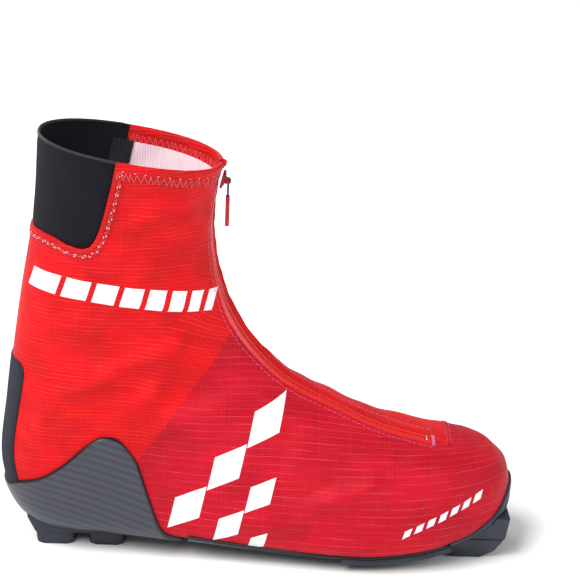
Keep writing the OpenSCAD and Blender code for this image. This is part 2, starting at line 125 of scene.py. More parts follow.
def curve_through(a, b, c, d, f):
    """Catmull-Rom: the curve from b to c, with a and d on either side."""
    return 0.5 * (2 * b + (c - a) * f + (2 * a - 5 * b + 4 * c - d) * f ** 2
                  + (3 * b - a - 3 * c + d) * f ** 3)


def section(t):
    t = np.asarray(t, float)
    i = np.clip(np.floor(t).astype(int), 0, LAST - 1)
    b, c = SECTIONS[i], SECTIONS[i + 1]
    a = np.where((i > 0)[..., None], SECTIONS[np.maximum(i - 1, 0)], 2 * b - c)
    d = np.where((i < LAST - 1)[..., None], SECTIONS[np.minimum(i + 2, LAST)], 2 * c - b)
    return curve_through(a, b, c, d, (t - i)[..., None])


def section_point(k, angle):
    c, s = np.cos(angle), np.sin(angle)
    n = np.where(c > 0, k[..., 8], k[..., 9])
    across = np.sign(s) * np.abs(s) ** (2 / n)
    cc = np.sign(c) * np.abs(c) ** (2 / n)
    widest = k[..., 7]
    down = np.where(c > 0, widest * (1 - cc), widest - (1 - widest) * cc)
    half = np.where(s > 0, k[..., 4], k[..., 5])
    return np.stack([k[..., 0] + (k[..., 2] - k[..., 0]) * down, k[..., 6] - half * across,
                     k[..., 1] + (k[..., 3] - k[..., 1]) * down], -1)


def skin(t, angle, depth=0.0):
    """Points depth mm outside the surface."""
    t, angle = np.broadcast_arrays(np.asarray(t, float), np.asarray(angle, float))
    dt, da = 0.02, math.radians(1)
    k = section(t)
    up = section_point(section(t + dt), angle) - section_point(section(t - dt), angle)
    round_ = section_point(k, angle + da) - section_point(k, angle - da)
    normal = np.cross(up, round_)
    normal /= np.linalg.norm(normal, axis=-1, keepdims=True) + 1e-12
    return section_point(k, angle) + np.asarray(depth, float)[..., None] * normal


def smooth(f):
    """From 0 to 1 with a soft start and end."""
    return f * f * (3 - 2 * f)


def zip_y(z):
    return -1 - ZIP_LEAN * (COLLAR_Z - z)


def angle_off(t, off=0.0):
    """Angle at a distance off mm to the lateral side of the zip line."""
    k = section(np.maximum(t, ZIP_END))
    reach = k[..., 6] - zip_y(k[..., 1]) + off
    half = np.where(reach > 0, k[..., 4], k[..., 5])
    return np.sign(reach) * np.arcsin(np.minimum(np.abs(reach / half), 1) ** (k[..., 8] / 2))


def from_zip(t, angle):
    """Distance in mm to the lateral side of the zip line."""
    p = skin(t, angle)
    return zip_y(p[..., 2]) - p[..., 1]


# Ring tables, for even spacing and for the cloth's own coordinates
QUARTER = smooth(np.linspace(0, 1, 90, endpoint=False))
MASTER = np.append(np.concatenate([(i + QUARTER) * math.pi / 2 for i in (-2, -1, 0, 1)]), math.pi)
T_TABLE = np.linspace(0, LAST, 301)
RING = section_point(section(T_TABLE)[:, None, :].repeat(len(MASTER), 1),
                     np.broadcast_to(MASTER, (len(T_TABLE), len(MASTER))))
ALONG = np.concatenate([np.zeros((len(T_TABLE), 1)),
                        np.cumsum(np.linalg.norm(np.diff(RING, axis=1), axis=2), 1)], 1)


def ring_length(t, angle):
    """Length in mm round a ring, from the back or bottom on the medial side."""
    row = np.clip(np.asarray(t, float), 0, LAST) / LAST * (len(T_TABLE) - 1)
    col = np.interp(angle, MASTER, np.arange(len(MASTER)))
    i = np.minimum(row.astype(int), len(T_TABLE) - 2)
    j = np.minimum(col.astype(int), len(MASTER) - 2)
    f, g = row - i, col - j
    return ((1 - f) * ((1 - g) * ALONG[i, j] + g * ALONG[i, j + 1])
            + f * ((1 - g) * ALONG[i + 1, j] + g * ALONG[i + 1, j + 1]))


def angles_between(t, start, end, count):
    """For each t, count + 1 angles evenly spaced round its ring."""
    rows = []
    for ti, a, b in zip(t, np.broadcast_to(start, len(t)), np.broadcast_to(end, len(t))):
        lengths = ring_length(np.full(len(MASTER), ti), MASTER)
        ends = np.interp([a, b], MASTER, lengths)
        row = np.interp(np.linspace(ends[0], ends[1], count + 1), lengths, MASTER)
        row[0], row[-1] = a, b
        rows.append(row)
    return np.array(rows)


def lengths_along(points):
    """The distance along a line from its first point to each."""
    return np.append(0, np.cumsum(np.linalg.norm(np.diff(points, axis=0), axis=1)))


def even_t(start, end, step):
    """Values of t about step mm apart along the lateral side."""
    fine = np.linspace(start, end, 800)
    length = lengths_along(section_point(section(fine), np.full(len(fine), math.pi / 2)))
    count = max(2, round(length[-1] / step))
    return np.interp(np.linspace(0, length[-1], count + 1), length, fine)


def cloth_uv(t, angle, medial=False):
    """Millimetres along and across the cloth. Its lines run level on the shaft and along the
    foot."""
    t = np.asarray(t, float)
    p = skin(t, angle)
    middle = -math.pi / 2 if medial else math.pi / 2
    side = section_point(section(t), np.full(t.shape, middle))
    rise = ring_length(t, np.full(t.shape, middle)) - ring_length(t, angle)
    if medial:
        rise = -rise
    f = smooth(np.clip((t - 8.5) / 2.5, 0, 1))
    u = (1 - f) * p[..., 0] + f * (side[..., 0] + rise)
    v = (1 - f) * (side[..., 2] + rise) + f * p[..., 2]
    return np.stack([u, v], -1)


# ---------------------------------------------------------------- soft folds in the cloth
# Side (1 lateral, -1 medial), x, z, direction in degrees, length, width, height
FOLDS = [
    (1, 74, 113, 26, 40, 9, 1.5), (1, 62, 101, 34, 34, 8, -1.3), (1, 88, 103, 46, 30, 7, 1.1),
    (1, 52, 122, 14, 34, 8, -0.9), (1, 98, 116, 58, 24, 7, -1.0), (1, 40, 132, 6, 34, 7, 0.8),
    (1, 66, 134, 2, 30, 7, -0.9), (1, 86, 146, -8, 26, 7, 0.9), (1, 30, 92, 30, 26, 8, 0.7),
    (1, 20, 74, 60, 24, 7, 0.8), (1, 90, 178, -14, 24, 7, -0.9), (1, 95, 190, -50, 18, 6, -1.0),
    (1, 84, 198, 24, 24, 7, 0.8), (1, 60, 176, -8, 24, 8, 0.5), (1, 104, 84, 24, 36, 9, 0.9),
    (1, 118, 70, 30, 34, 9, -0.8), (1, 178, 54, 36, 26, 8, -1.4), (1, 192, 47, 24, 28, 7, 1.1),
    (1, 168, 42, 12, 30, 8, 0.9), (1, 186, 34, 8, 30, 7, -1.0), (1, 212, 46, -20, 24, 9, 0.7),
    (1, 150, 28, 6, 34, 8, 0.8), (1, 172, 24, 20, 26, 7, -0.8),
    (-1, 60, 112, 40, 32, 9, 1.2), (-1, 74, 98, 42, 32, 8, -1.2), (-1, 90, 106, 56, 26, 8, 1.2),
    (-1, 44, 134, 8, 32, 8, -0.9), (-1, 70, 142, 2, 34, 8, 0.9), (-1, 88, 168, -10, 26, 8, -0.9),
    (-1, 170, 54, 40, 30, 9, -1.4), (-1, 186, 44, 30, 26, 8, 1.2), (-1, 140, 66, 32, 32, 9, 1.0),
    (-1, 152, 40, 20, 34, 9, -0.9), (-1, 122, 60, 30, 30, 9, 0.9), (-1, 36, 80, 36, 30, 8, 0.8)]
FOLD_LENGTH, FOLD_WIDTH, FOLD_HEIGHT, FOLD_BEND = 1.15, 0.66, 2.7, 0.35
CUP_TOP_X = [3, 11, 23, 35, 44, 50, 56, 64, 70, 75, 79, 84, 88, 93]
CUP_TOP_Z = [38, 42, 47, 56, 65, 70, 73, 72, 66, 59, 48, 34, 23, 12]


def folds(t, angle):
    """How far the cloth stands off its even surface."""
    p = skin(t, angle)
    x, y, z = p[..., 0], p[..., 1], p[..., 2]
    side = np.tanh((section(t)[..., 6] - y) / 9)
    total = np.zeros(x.shape)
    for which, fx, fz, degrees, length, width, height in FOLDS:
        c, s = math.cos(math.radians(degrees)), math.sin(math.radians(degrees))
        along = ((x - fx) * c + (z - fz) * s) / (FOLD_LENGTH * length)
        across = ((z - fz) * c - (x - fx) * s) / (FOLD_WIDTH * width) + FOLD_BEND * along ** 2
        total += np.clip(which * side, 0, 1) * height * np.exp(-across ** 2 - (1.6 * along) ** 4)
    wave = (np.sin(x * 0.11 + z * 0.05 + 1.3) * np.sin(z * 0.13 - x * 0.03 + y * 0.06)
            + 0.5 * np.sin(x * 0.23 - z * 0.19 + y * 0.11))
    crease = np.sin(x * 0.34 + 2.2 * np.sin(z * 0.07 + 0.6) + 0.05 * y)
    crease *= np.sin(z * 0.29 + 1.9 * np.sin(x * 0.06 + y * 0.03))
    total = FOLD_HEIGHT * total + 0.5 * wave + 0.25 * crease
    # no deeper than 1 mm, so that the inner boot stays covered
    total = np.where(total < 0, -np.tanh(-total), total)
    # flat beside the zip, the sole, the collar, the heel cup and the heel stay
    free = np.clip((np.abs(zip_y(z) - y) - 6) / 14, 0, 1) * np.clip((z - 12) / 12, 0, 1)
    free *= 0.25 + 0.75 * np.clip((LAST - t) / 0.6, 0, 1)
    free *= np.clip((z - np.interp(x, CUP_TOP_X, CUP_TOP_Z)) / 7, 0, 1)
    at_stay = np.clip((30 - x) / 10, 0, 1) * np.clip((116 - z) / 10, 0, 1)
    return total * free * (1 - at_stay * np.clip((32 - np.abs(y)) / 8, 0, 1))


def cloth(t, angle, depth=0.0):
    return skin(t, angle, folds(t, angle) + depth)


# ---------------------------------------------------------------- patches: meshes in (t, angle)
def grid(t, angles):
    """A patch of faces over rows of t and columns of angles, seen from outside."""
    rows, cols = angles.shape
    ta = np.stack([np.repeat(t, cols), angles.ravel()], -1)
    i, j = np.meshgrid(np.arange(rows - 1), np.arange(cols - 1), indexing="ij")
    a = (i * cols + j).ravel()
    return ta, [tuple(f) for f in np.stack([a, a + cols, a + cols + 1, a + 1], -1).tolist()]


def wrapped_grid(t, count):
    """A patch right round the boot, joined to itself at the back or bottom."""
    middle = angle_off(t)
    angles = np.concatenate([angles_between(t, -math.pi, middle, count)[:, :-1],
                             angles_between(t, middle, math.pi, count)[:, :-1]], 1)
    rows, cols = angles.shape
    ta = np.stack([np.repeat(t, cols), angles.ravel()], -1)
    faces = []
    for i in range(rows - 1):
        for j in range(cols):
            a, b = i * cols + j, i * cols + (j + 1) % cols
            faces.append((a, a + cols, b + cols, b))
    return ta, faces


def nearer(angle, other):
    """The same direction as angle, less than half a turn from other."""
    return other + (angle - other + math.pi) % (2 * math.pi) - math.pi


def crossings(ta, value, pairs):
    """Where value is zero between each pair of patch points."""
    p, q = ta[pairs[:, 0]], ta[pairs[:, 1]].copy()
    q[:, 1] = nearer(q[:, 1], p[:, 1])
    low, high = np.zeros(len(pairs)), np.ones(len(pairs))
    v_low, v_high = value(p[:, 0], p[:, 1]), value(q[:, 0], q[:, 1])
    mid = low
    for _ in range(6):
        mid = low + (high - low) * np.clip(v_low / (v_low - v_high + 1e-12), 0.02, 0.98)
        r = p + (q - p) * mid[:, None]
        v = value(r[:, 0], r[:, 1])
        left = (v > 0) == (v_low > 0)
        low, v_low = np.where(left, mid, low), np.where(left, v, v_low)
        high, v_high = np.where(left, high, mid), np.where(left, v_high, v)
    return p + (q - p) * mid[:, None]


def split_faces(patch, value):
    """Cuts faces along value = 0: the points, the faces above and below, and the cut's edges."""
    ta, faces = patch
    side = value(ta[:, 0], ta[:, 1]) > 0
    above, below, edges, index = [], [], [], {}
    for face in faces:
        marks = [side[i] for i in face]
        if all(marks):
            above.append(face)
            continue
        if not any(marks):
            below.append(face)
            continue
        up, down, made = [], [], []
        for k, i in enumerate(face):
            j = face[(k + 1) % len(face)]
            (up if side[i] else down).append(i)
            if side[i] != side[j]:
                key = (min(i, j), max(i, j))
                new = index.setdefault(key, len(ta) + len(index))
                up.append(new)
                down.append(new)
                made.append(new)
        above.append(tuple(up))
        below.append(tuple(down))
        if len(made) == 2:
            edges.append(tuple(made))
    if index:
        ta = np.concatenate([ta, crossings(ta, value, np.array(list(index)))])
    return ta, above, below, edges


def cut(patch, *values):
    """The part of a patch where every value > 0."""
    for value in values:
        patch = split_faces(patch, value)[:2]
    return patch


def scored(patch, value):
    """The same patch with an edge line along value = 0."""
    ta, above, below, _ = split_faces(patch, value)
    return ta, above + below


def chained(edges):
    """Edges joined end to end, as lists of points."""
    links = {}
    for a, b in edges:
        links.setdefault(a, []).append(b)
        links.setdefault(b, []).append(a)
    chains, used = [], set()
    for start in sorted(links, key=lambda i: len(links[i])):
        if start in used:
            continue
        chain, here = [start], start
        used.add(start)
        while ahead := [i for i in links[here] if i not in used]:
            here = ahead[0]
            used.add(here)
            chain.append(here)
        chains.append(chain)
    return [chain for chain in chains if len(chain) > 1]


def outline(patch, value):
    """The lines where value = 0, as arrays of (t, angle)."""
    ta, _, _, edges = split_faces(patch, value)
    return [ta[chain] for chain in chained(edges)]


def smooth_outline(points, parts=6):
    """A closed outline's points on a smooth curve through them."""
    p = np.array(points, float)
    n = len(p)
    return np.array([curve_through(p[i - 1], p[i], p[(i + 1) % n], p[(i + 2) % n], k / parts)
                     for i in range(n) for k in range(parts)])


def inside(outline_xz):
    """value(t, angle): mm inside an outline seen from the side, negative outside it."""
    a = np.asarray(outline_xz, float)
    b = np.roll(a, -1, 0)
    d = b - a
    length2 = (d ** 2).sum(1) + 1e-9

    def value(t, angle):
        p = skin(t, angle)[..., [0, 2]].reshape(-1, 2)
        best = np.empty(len(p))
        crossing = np.empty(len(p), bool)
        for s in range(0, len(p), 4000):
            q = p[s:s + 4000, None, :] - a[None]
            f = np.clip((q * d).sum(2) / length2, 0, 1)
            best[s:s + 4000] = np.linalg.norm(q - f[..., None] * d, axis=2).min(1)
            z = p[s:s + 4000, None, 1]
            over = (a[:, 1] > z) != (b[:, 1] > z)
            at = a[:, 0] + (z - a[:, 1]) * d[:, 0] / np.where(d[:, 1] == 0, 1e-9, d[:, 1])
            crossing[s:s + 4000] = (over & (p[s:s + 4000, None, 0] < at)).sum(1) % 2 == 1
        return np.where(crossing, best, -best).reshape(np.shape(t))
    return value


def less(value, amount):
    """value - amount, as a function."""
    return lambda t, a: value(t, a) - amount


def under(value, amount):
    """amount - value, as a function."""
    return lambda t, a: amount - value(t, a)


# ---------------------------------------------------------------- meshes
def point(p):
    """Millimetres from heel and ground to metres in the shared frame."""
    return (np.asarray(p, float) - BAR) * MM


def link(name, mesh, material, body="boot", replaces=None):
    """A mesh as a piece that rides a body. It stands for the CAD node of its own name, or for
    the one given."""
    is_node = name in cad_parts
    obj = bpy.data.objects.new(name + "_look" if is_node else name, mesh)
    bpy.context.scene.collection.objects.link(obj)
    for m in (material if isinstance(material, list) else [material]):
        mesh.materials.append(m)
    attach(obj, body)
    if is_node or replaces:
        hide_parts(replaces or name)
    return obj


def piece(name, solid, material, slot=None, body="boot", replaces=None, sharp=40,
          face_material=None):
    """A mesh piece from points in mm, faces and, where given, cloth coordinates."""
    points, faces, *uv = solid
    mesh = bpy.data.meshes.new(name)
    mesh.from_pydata(point(points).tolist(), [], faces)
    mesh.polygons.foreach_set("use_smooth", np.ones(len(mesh.polygons), bool))
    if face_material is not None:
        mesh.polygons.foreach_set("material_index", np.asarray(face_material, np.int32))
    if uv:
        loops = np.empty(len(mesh.loops), np.int32)
        mesh.loops.foreach_get("vertex_index", loops)
        layer = mesh.uv_layers.new(name="cloth")
        layer.data.foreach_set("uv", (uv[0][loops] * MM).astype(np.float32).ravel())
    mesh.validate()
    mesh.set_sharp_from_angle(angle=math.radians(sharp))
    return link(name, mesh, material, body, replaces)


def shell(patch, outer, inner, place=skin, medial=False):
    """Points, faces and cloth coordinates of a closed shell over a patch.

    outer and inner are depths in mm, or functions of (t, angle)."""
    ta, faces = patch
    used = sorted({i for f in faces for i in f})
    order = {old: new for new, old in enumerate(used)}
    faces = [tuple(order[i] for i in f) for f in faces]
    t, a = ta[used].T
    depths = [d(t, a) if callable(d) else np.full(len(t), float(d)) for d in (outer, inner)]
    n = len(t)
    directed = {(f[k], f[(k + 1) % len(f)]) for f in faces for k in range(len(f))}
    walls = [(j, i, n + i, n + j) for i, j in directed if (j, i) not in directed]
    points = np.concatenate([place(t, a, d) for d in depths])
    uv = cloth_uv(t, a, medial)
    back = [tuple(n + i for i in reversed(f)) for f in faces]
    return points, faces + back + sorted(walls), np.concatenate([uv, uv])


def shell_piece(name, patch, outer, inner, material, slot=None, place=skin, medial=False, **how):
    return piece(name, shell(patch, outer, inner, place, medial), material, slot, **how)


def joined(parts):
    """Several (points, faces) or (points, faces, uv) as one."""
    points, faces, uvs, start = [], [], [], 0
    for part_points, part_faces, *uv in parts:
        points.append(part_points)
        faces += [tuple(i + start for i in f) for f in part_faces]
        uvs += uv
        start += len(part_points)
    return (np.concatenate(points), faces, *([np.concatenate(uvs)] if uvs else []))


def resampled(points, step):
    """Points step mm apart along a line."""
    length = lengths_along(points)
    at = np.linspace(0, length[-1], max(2, round(length[-1] / step)) + 1)
    return np.stack([np.interp(at, length, points[:, k]) for k in range(3)], -1)


def tube(points, radius, sides=10, up=(0, 1, 0)):
    """Points and faces of a tube along a line. radius may differ from point to point."""
    p = np.asarray(points, float)
    n = len(p)
    ahead = np.gradient(p, axis=0)
    ahead /= np.linalg.norm(ahead, axis=1, keepdims=True) + 1e-12
    side = np.empty_like(p)
    u = np.array(up, float)
    for i in range(n):
        u = u - ahead[i] * (u @ ahead[i])
        u /= np.linalg.norm(u) + 1e-12
        side[i] = u
    other = np.cross(ahead, side)
    turn = np.linspace(0, 2 * math.pi, sides, endpoint=False)[None, :, None]
    ring = np.cos(turn) * side[:, None] + np.sin(turn) * other[:, None]
    points = (p[:, None] + np.broadcast_to(radius, n)[:, None, None] * ring).reshape(-1, 3)
    faces = []
    for i in range(n - 1):
        for k in range(sides):
            a, b = i * sides + k, i * sides + (k + 1) % sides
            faces.append((a, b, b + sides, a + sides))
    faces.append(tuple(range(sides - 1, -1, -1)))
    faces.append(tuple((n - 1) * sides + k for k in range(sides)))
    return points, faces


# A stitch's rings: share of its length, thickness, and height over the cloth in radii
STITCH_RINGS = [(0.0, 0.35, -0.5), (0.14, 0.85, -0.1), (0.5, 1.0, 0.35), (0.86, 0.85, -0.1),
                (1.0, 0.35, -0.5)]


def stitches(ends, normals, radius, sides=5):
    """Points and faces of threads that dip into the cloth at both ends. ends is (n, 2, 3)."""
    ends, normals = np.asarray(ends, float), np.asarray(normals, float)
    along = ends[:, 1] - ends[:, 0]
    across = np.cross(along, normals)
    across /= np.linalg.norm(across, axis=1, keepdims=True) + 1e-12
    turn = np.linspace(0, 2 * math.pi, sides, endpoint=False)
    rings = []
    for share, thick, lift in STITCH_RINGS:
        centre = ends[:, 0] + share * along + lift * radius * normals
        rings.append(centre[:, None] + radius * thick * (
            np.cos(turn)[None, :, None] * across[:, None]
            + np.sin(turn)[None, :, None] * normals[:, None]))
    points = np.stack(rings, 1).reshape(-1, 3)
    m = len(STITCH_RINGS)
    faces = []
    for s in range(len(ends)):
        base = s * m * sides
        for i in range(m - 1):
            for k in range(sides):
                a, b = base + i * sides + k, base + i * sides + (k + 1) % sides
                faces.append((a, a + sides, b + sides, b))
        faces.append(tuple(base + k for k in range(sides)))
        faces.append(tuple(base + (m - 1) * sides + k for k in reversed(range(sides))))
    return points, faces


def outward(ta):
    """Directions out of the boot at places (t, angle)."""
    t, a = ta.T
    n = skin(t, a, 1.0) - skin(t, a, 0.0)
    return n / (np.linalg.norm(n, axis=1, keepdims=True) + 1e-12)


def seam(line, pitch, length, depth, radius, place=cloth, wobble=0.12):
    """A row of stitches along a line of (t, angle)."""
    reach = lengths_along(place(line[:, 0], line[:, 1], depth))
    starts = np.arange(pitch * 0.3, reach[-1] - length, pitch)
    starts = starts + RNG.normal(0, wobble * pitch * 0.4, len(starts))
    ends, normals = [], []
    for s in np.stack([starts, starts + length], 1):
        ta = np.stack([np.interp(s, reach, line[:, k]) for k in (0, 1)], -1)
        ends.append(place(ta[:, 0], ta[:, 1], depth))
        normals.append(outward(ta.mean(0)[None])[0])
    return stitches(ends, normals, radius)


def zigzag(upper, lower, pitch, depth, radius):
    """A zigzag of threads between two lines of (t, angle)."""
    count = int(lengths_along(cloth(*upper.T, 0.0))[-1] / pitch)
    at = np.linspace(0, 1, 2 * count + 1)
    pick = lambda line: np.stack(
        [np.interp(at, np.linspace(0, 1, len(line)), line[:, k]) for k in (0, 1)], -1)
    path = np.where((np.arange(len(at)) % 2 == 0)[:, None], pick(upper), pick(lower))
    path[:, 0] += RNG.normal(0, 0.006, len(path))
    where = cloth(path[:, 0], path[:, 1], depth)
    normals = outward((path[:-1] + path[1:]) / 2)
    return stitches(np.stack([where[:-1], where[1:]], 1), normals, radius)


def solid_from(outline_xy, low, high):
    """A bmesh prism over a flat outline."""
    bm = bmesh.new()
    bottom, top = ([bm.verts.new((x, y, z)) for x, y in outline_xy] for z in (low, high))
    bm.faces.new(bottom[::-1])
    bm.faces.new(top)
    for i, j in zip(range(len(top)), [*range(1, len(top)), 0]):
        bm.faces.new((bottom[i], bottom[j], top[j], top[i]))
    return bm


def rounded(bm, amount, segments=2, edges=None):
    bmesh.ops.bevel(bm, geom=edges or bm.edges[:], offset=amount, segments=segments,
                    profile=0.6, affect="EDGES", clamp_overlap=True)


def parts_of(bm, matrix=None):
    """Points and faces of a bmesh, moved by a matrix; the bmesh is freed."""
    bm.verts.ensure_lookup_table()
    points = np.array([(matrix @ v.co if matrix else v.co)[:] for v in bm.verts])
    faces = [tuple(v.index for v in f.verts) for f in bm.faces]
    bm.free()
    return points, faces


def brick(size, centre, bevel, matrix=None, segments=2):
    """A rounded block."""
    x, y, z = (s / 2 for s in size)
    bm = solid_from([(-x, -y), (x, -y), (x, y), (-x, y)], -z, z)
    rounded(bm, bevel, segments)
    bmesh.ops.translate(bm, verts=bm.verts, vec=centre)
    return parts_of(bm, matrix)


def boolean(obj, solid, operation="DIFFERENCE"):
    """Cuts, limits or adds to a mesh with a solid."""
    cutter = scratch(*solid)
    modifier = obj.modifiers.new("cut", "BOOLEAN")
    modifier.operation = operation
    modifier.solver = "EXACT"
    modifier.object = cutter
    bpy.context.view_layer.update()
    evaluated = obj.evaluated_get(bpy.context.evaluated_depsgraph_get())
    made = bpy.data.meshes.new_from_object(evaluated)
    obj.modifiers.clear()
    obj.data = made
    bpy.data.objects.remove(cutter)


def scratch(points, faces):
    """A mesh object on the way to a piece, or only to cut another."""
    mesh = bpy.data.meshes.new("scratch")
    mesh.from_pydata(point(points).tolist(), [], faces)
    obj = bpy.data.objects.new("scratch", mesh)
    bpy.context.scene.collection.objects.link(obj)
    return obj


# ---------------------------------------------------------------- materials
def srgb(r, g, b):
    """A colour from 0..255 screen values."""
    return tuple((v / 12.92 if v <= 0.04045 else ((v + 0.055) / 1.055) ** 2.4)
                 for v in (r / 255, g / 255, b / 255)) + (1.0,)


def lighter(colour, factor, added):
    """A paler colour, from screen values."""
    return srgb(*[min(255, c * factor + added) for c in colour])


class Number:
    """A node's output. Sums, differences and products of it are further nodes."""

    def __init__(self, material, socket):
        self.material, self.socket = material, socket

    def __add__(self, other):
        return self.material.math("ADD", self, other)

    def __sub__(self, other):
        return self.material.math("SUBTRACT", self, other)

    def __rsub__(self, other):
        return self.material.math("SUBTRACT", other, self)

    def __mul__(self, other):
        return self.material.math("MULTIPLY", self, other)


class Material:
    """A node material with short ways to add nodes. Inputs are numbers, colours, sockets or
    Numbers."""

    def __init__(self, name, roughness, **fixed):
        self.material = bpy.data.materials.new(name)
        self.material.use_nodes = True
        self.nodes = self.material.node_tree.nodes
        self.links = self.material.node_tree.links
        self.shader = self.nodes["Principled BSDF"]
        for key, value in {"Roughness": roughness, **fixed}.items():
            self.shader.inputs[key.replace("_", " ")].default_value = value

    def set(self, socket, value):
        if isinstance(value, Number):
            value = value.socket
        if isinstance(value, bpy.types.NodeSocket):
            self.links.new(value, socket)
        elif value is not None:
            socket.default_value = value

    def node(self, kind, *values, **props):
        node = self.nodes.new("ShaderNode" + kind)
        for key, value in props.items():
            setattr(node, key, value)
        for socket, value in zip(node.inputs, values):
            self.set(socket, value)
        return node

    def math(self, operation, a, b=None):
        return Number(self, self.node("Math", a, b, operation=operation).outputs[0])

    def wave(self, value, pitch):
        return self.math("SINE", value * (2 * math.pi / pitch))

    def step(self, value, low, high, out_low=0.0, out_high=1.0):
        node = self.node("MapRange", value, low, high, out_low, out_high)
        node.interpolation_type = "SMOOTHSTEP"
        return Number(self, node.outputs[0])

    def mix(self, share, a, b, blend="MIX"):
        node = self.node("Mix", data_type="RGBA", blend_type=blend)
        for i, value in ((0, share), (6, a), (7, b)):
            self.set(node.inputs[i], value)
        return node.outputs[2]

    def times_1000(self, metres):
        return self.node("VectorMath", metres, (1000, 1000, 1000), operation="MULTIPLY").outputs[0]

    def numbers_of(self, vector):
        return [Number(self, part) for part in self.node("SeparateXYZ", vector).outputs]

    def cloth_mm(self):
        """The cloth's own coordinates in mm: along, across."""
        return self.numbers_of(self.times_1000(self.node("UVMap", uv_map="cloth").outputs[0]))[:2]

    def object_mm(self):
        """Coordinates in mm from heel and ground: together, then x, y and z."""
        place = self.times_1000(self.node("TexCoord").outputs["Object"])
        moved = self.node("VectorMath", place, tuple(BAR), operation="ADD").outputs[0]
        return [moved] + self.numbers_of(moved)

    def noise(self, vector, scale, detail=2.0, roughness=0.5):
        node = self.node("TexNoise")
        self.set(node.inputs["Vector"], vector)
        for key, value in (("Scale", scale), ("Detail", detail), ("Roughness", roughness)):
            self.set(node.inputs[key], value)
        return Number(self, node.outputs[0])

    def streaks(self, x, y, detail=3.0):
        """Noise that is longer one way than the other."""
        return self.noise(self.node("CombineXYZ", x, y, 0.0).outputs[0], 1.0, detail)

    def lines(self, value, pitch, width, soft):
        """1 on lines that repeat every pitch, 0 between them."""
        away = self.math("PINGPONG", value, pitch / 2)
        return self.step(away, width / 2 + soft, max(width / 2 - soft, 0.0))

    def finish(self, colour, roughness, height, depth):
        """Sets the shader's colour, roughness and bump, with height 1 standing depth mm up."""
        self.set(self.shader.inputs["Base Color"], colour)
        self.set(self.shader.inputs["Roughness"], roughness)
        bump = self.node("Bump")
        self.set(bump.inputs["Height"], height)
        bump.inputs["Distance"].default_value = depth * MM
        bump.inputs["Strength"].default_value = 1.0
        self.links.new(bump.outputs[0], self.shader.inputs["Normal"])
        return self.material


def ripstop(name, colour, second=None, edge=None, white=False):
    """Woven softshell with a grid of thicker threads. second is the print's other colour,
    and edge = (x, z, slope): it lies in front of a slanted line through that place."""
    m = Material(name, 0.62, Sheen_Weight=0.02, Sheen_Roughness=0.4, Specular_IOR_Level=0.14)
    u, v = m.cloth_mm()
    streak = m.streaks(u * 0.05, v * 1.3)
    upright = m.streaks(u * 1.1, v * 0.04)
    broad = m.streaks(u * 0.03, v * 0.05, 2.0)
    sparse, close = m.lines(v, 4.4, 0.42, 0.16), m.lines(v, 2.2, 0.3, 0.16)
    minor, cross = m.lines(v, 1.1, 0.34, 0.2), m.lines(u, 1.45, 0.3, 0.2)
    major = sparse if white else close
    base, thread_light = srgb(*colour), srgb(255, 96, 66)
    if second:
        _, x, _, z = m.object_mm()
        edge_x, edge_z, slope = edge
        past = m.step((x - edge_x) - (z - edge_z) * slope, -0.4, 0.4)
        major = past * sparse + (1.0 - past) * close
        base = m.mix(past, base, srgb(*second))
        thread_light = m.mix(past, thread_light, srgb(242, 98, 110))
    # broad soft patches from 14% darker to 5% lighter multiply the colour: painted light and shade
    # across the cloth
    painted_shading = m.step(broad, 0.35, 0.65, 0.86, 1.05)
    painted_shading_grey = m.node("CombineXYZ", painted_shading, painted_shading, painted_shading).outputs[0]
    base = m.mix(1.0, base, painted_shading_grey, "MULTIPLY")
    threads = (major * m.step(streak, 0.36, 0.68, 0.12, 0.62)
               + minor * m.step(streak, 0.35, 0.7, 0.02, 0.28)
               + cross * m.step(upright, 0.4, 0.72, 0.0, 0.22))
    threads = m.math("MINIMUM", threads, 0.85)
    if white:
        tone = m.mix(threads * 0.16, base, srgb(190, 190, 200))
    else:
        tone = m.mix(threads * 0.5, base, thread_light)
        gaps = m.math("MAXIMUM", m.lines(v + 0.5, 1.1, 0.2, 0.16), m.lines(u + 0.6, 1.45, 0.2, 0.2))
        tone = m.mix(gaps * m.step(upright, 0.3, 0.7, 0.04, 0.2), tone, srgb(96, 0, 14))
    weave = m.math("SINE", u * 12.0) * m.math("SINE", v * 12.0)
    height = major * 0.8 + weave * 0.22 + m.lines(u, 8.7, 0.4, 0.2) * 0.5 + minor * 0.35
    return m.finish(tone, m.step(streak, 0.2, 0.8, 0.5, 0.64), height, 0.07)


def knit(name, colour, pitch=0.9, depth=0.12, sheen=0.25):
    """Fine stretch knit: rows of small loops."""
    m = Material(name, 0.78, Sheen_Weight=sheen, Sheen_Roughness=0.5, Specular_IOR_Level=0.16)
    u, v = m.cloth_mm()
    place, *_ = m.object_mm()
    fleck = m.noise(place, 2.6, 4.0, 0.7)
    light = lighter(colour, 1.45, 6)
    tone = m.mix(m.step(fleck, 0.45, 0.75), srgb(*colour), light)
    tone = m.mix(m.step(m.noise(place, 0.05, 2.0), 0.3, 0.7, 0.0, 0.3), tone, light)
    coarse = m.step(m.noise(place, 0.8, 3.0, 0.8), 0.5, 0.72, 0.0, 0.5)
    tone = m.mix(coarse, tone, lighter(colour, 1.9, 16))
    loops = m.wave(u, pitch) * m.wave(v, 0.7 * pitch)
    return m.finish(tone, m.step(fleck, 0.2, 0.8, 0.7, 0.85), loops + fleck * 1.2, depth)


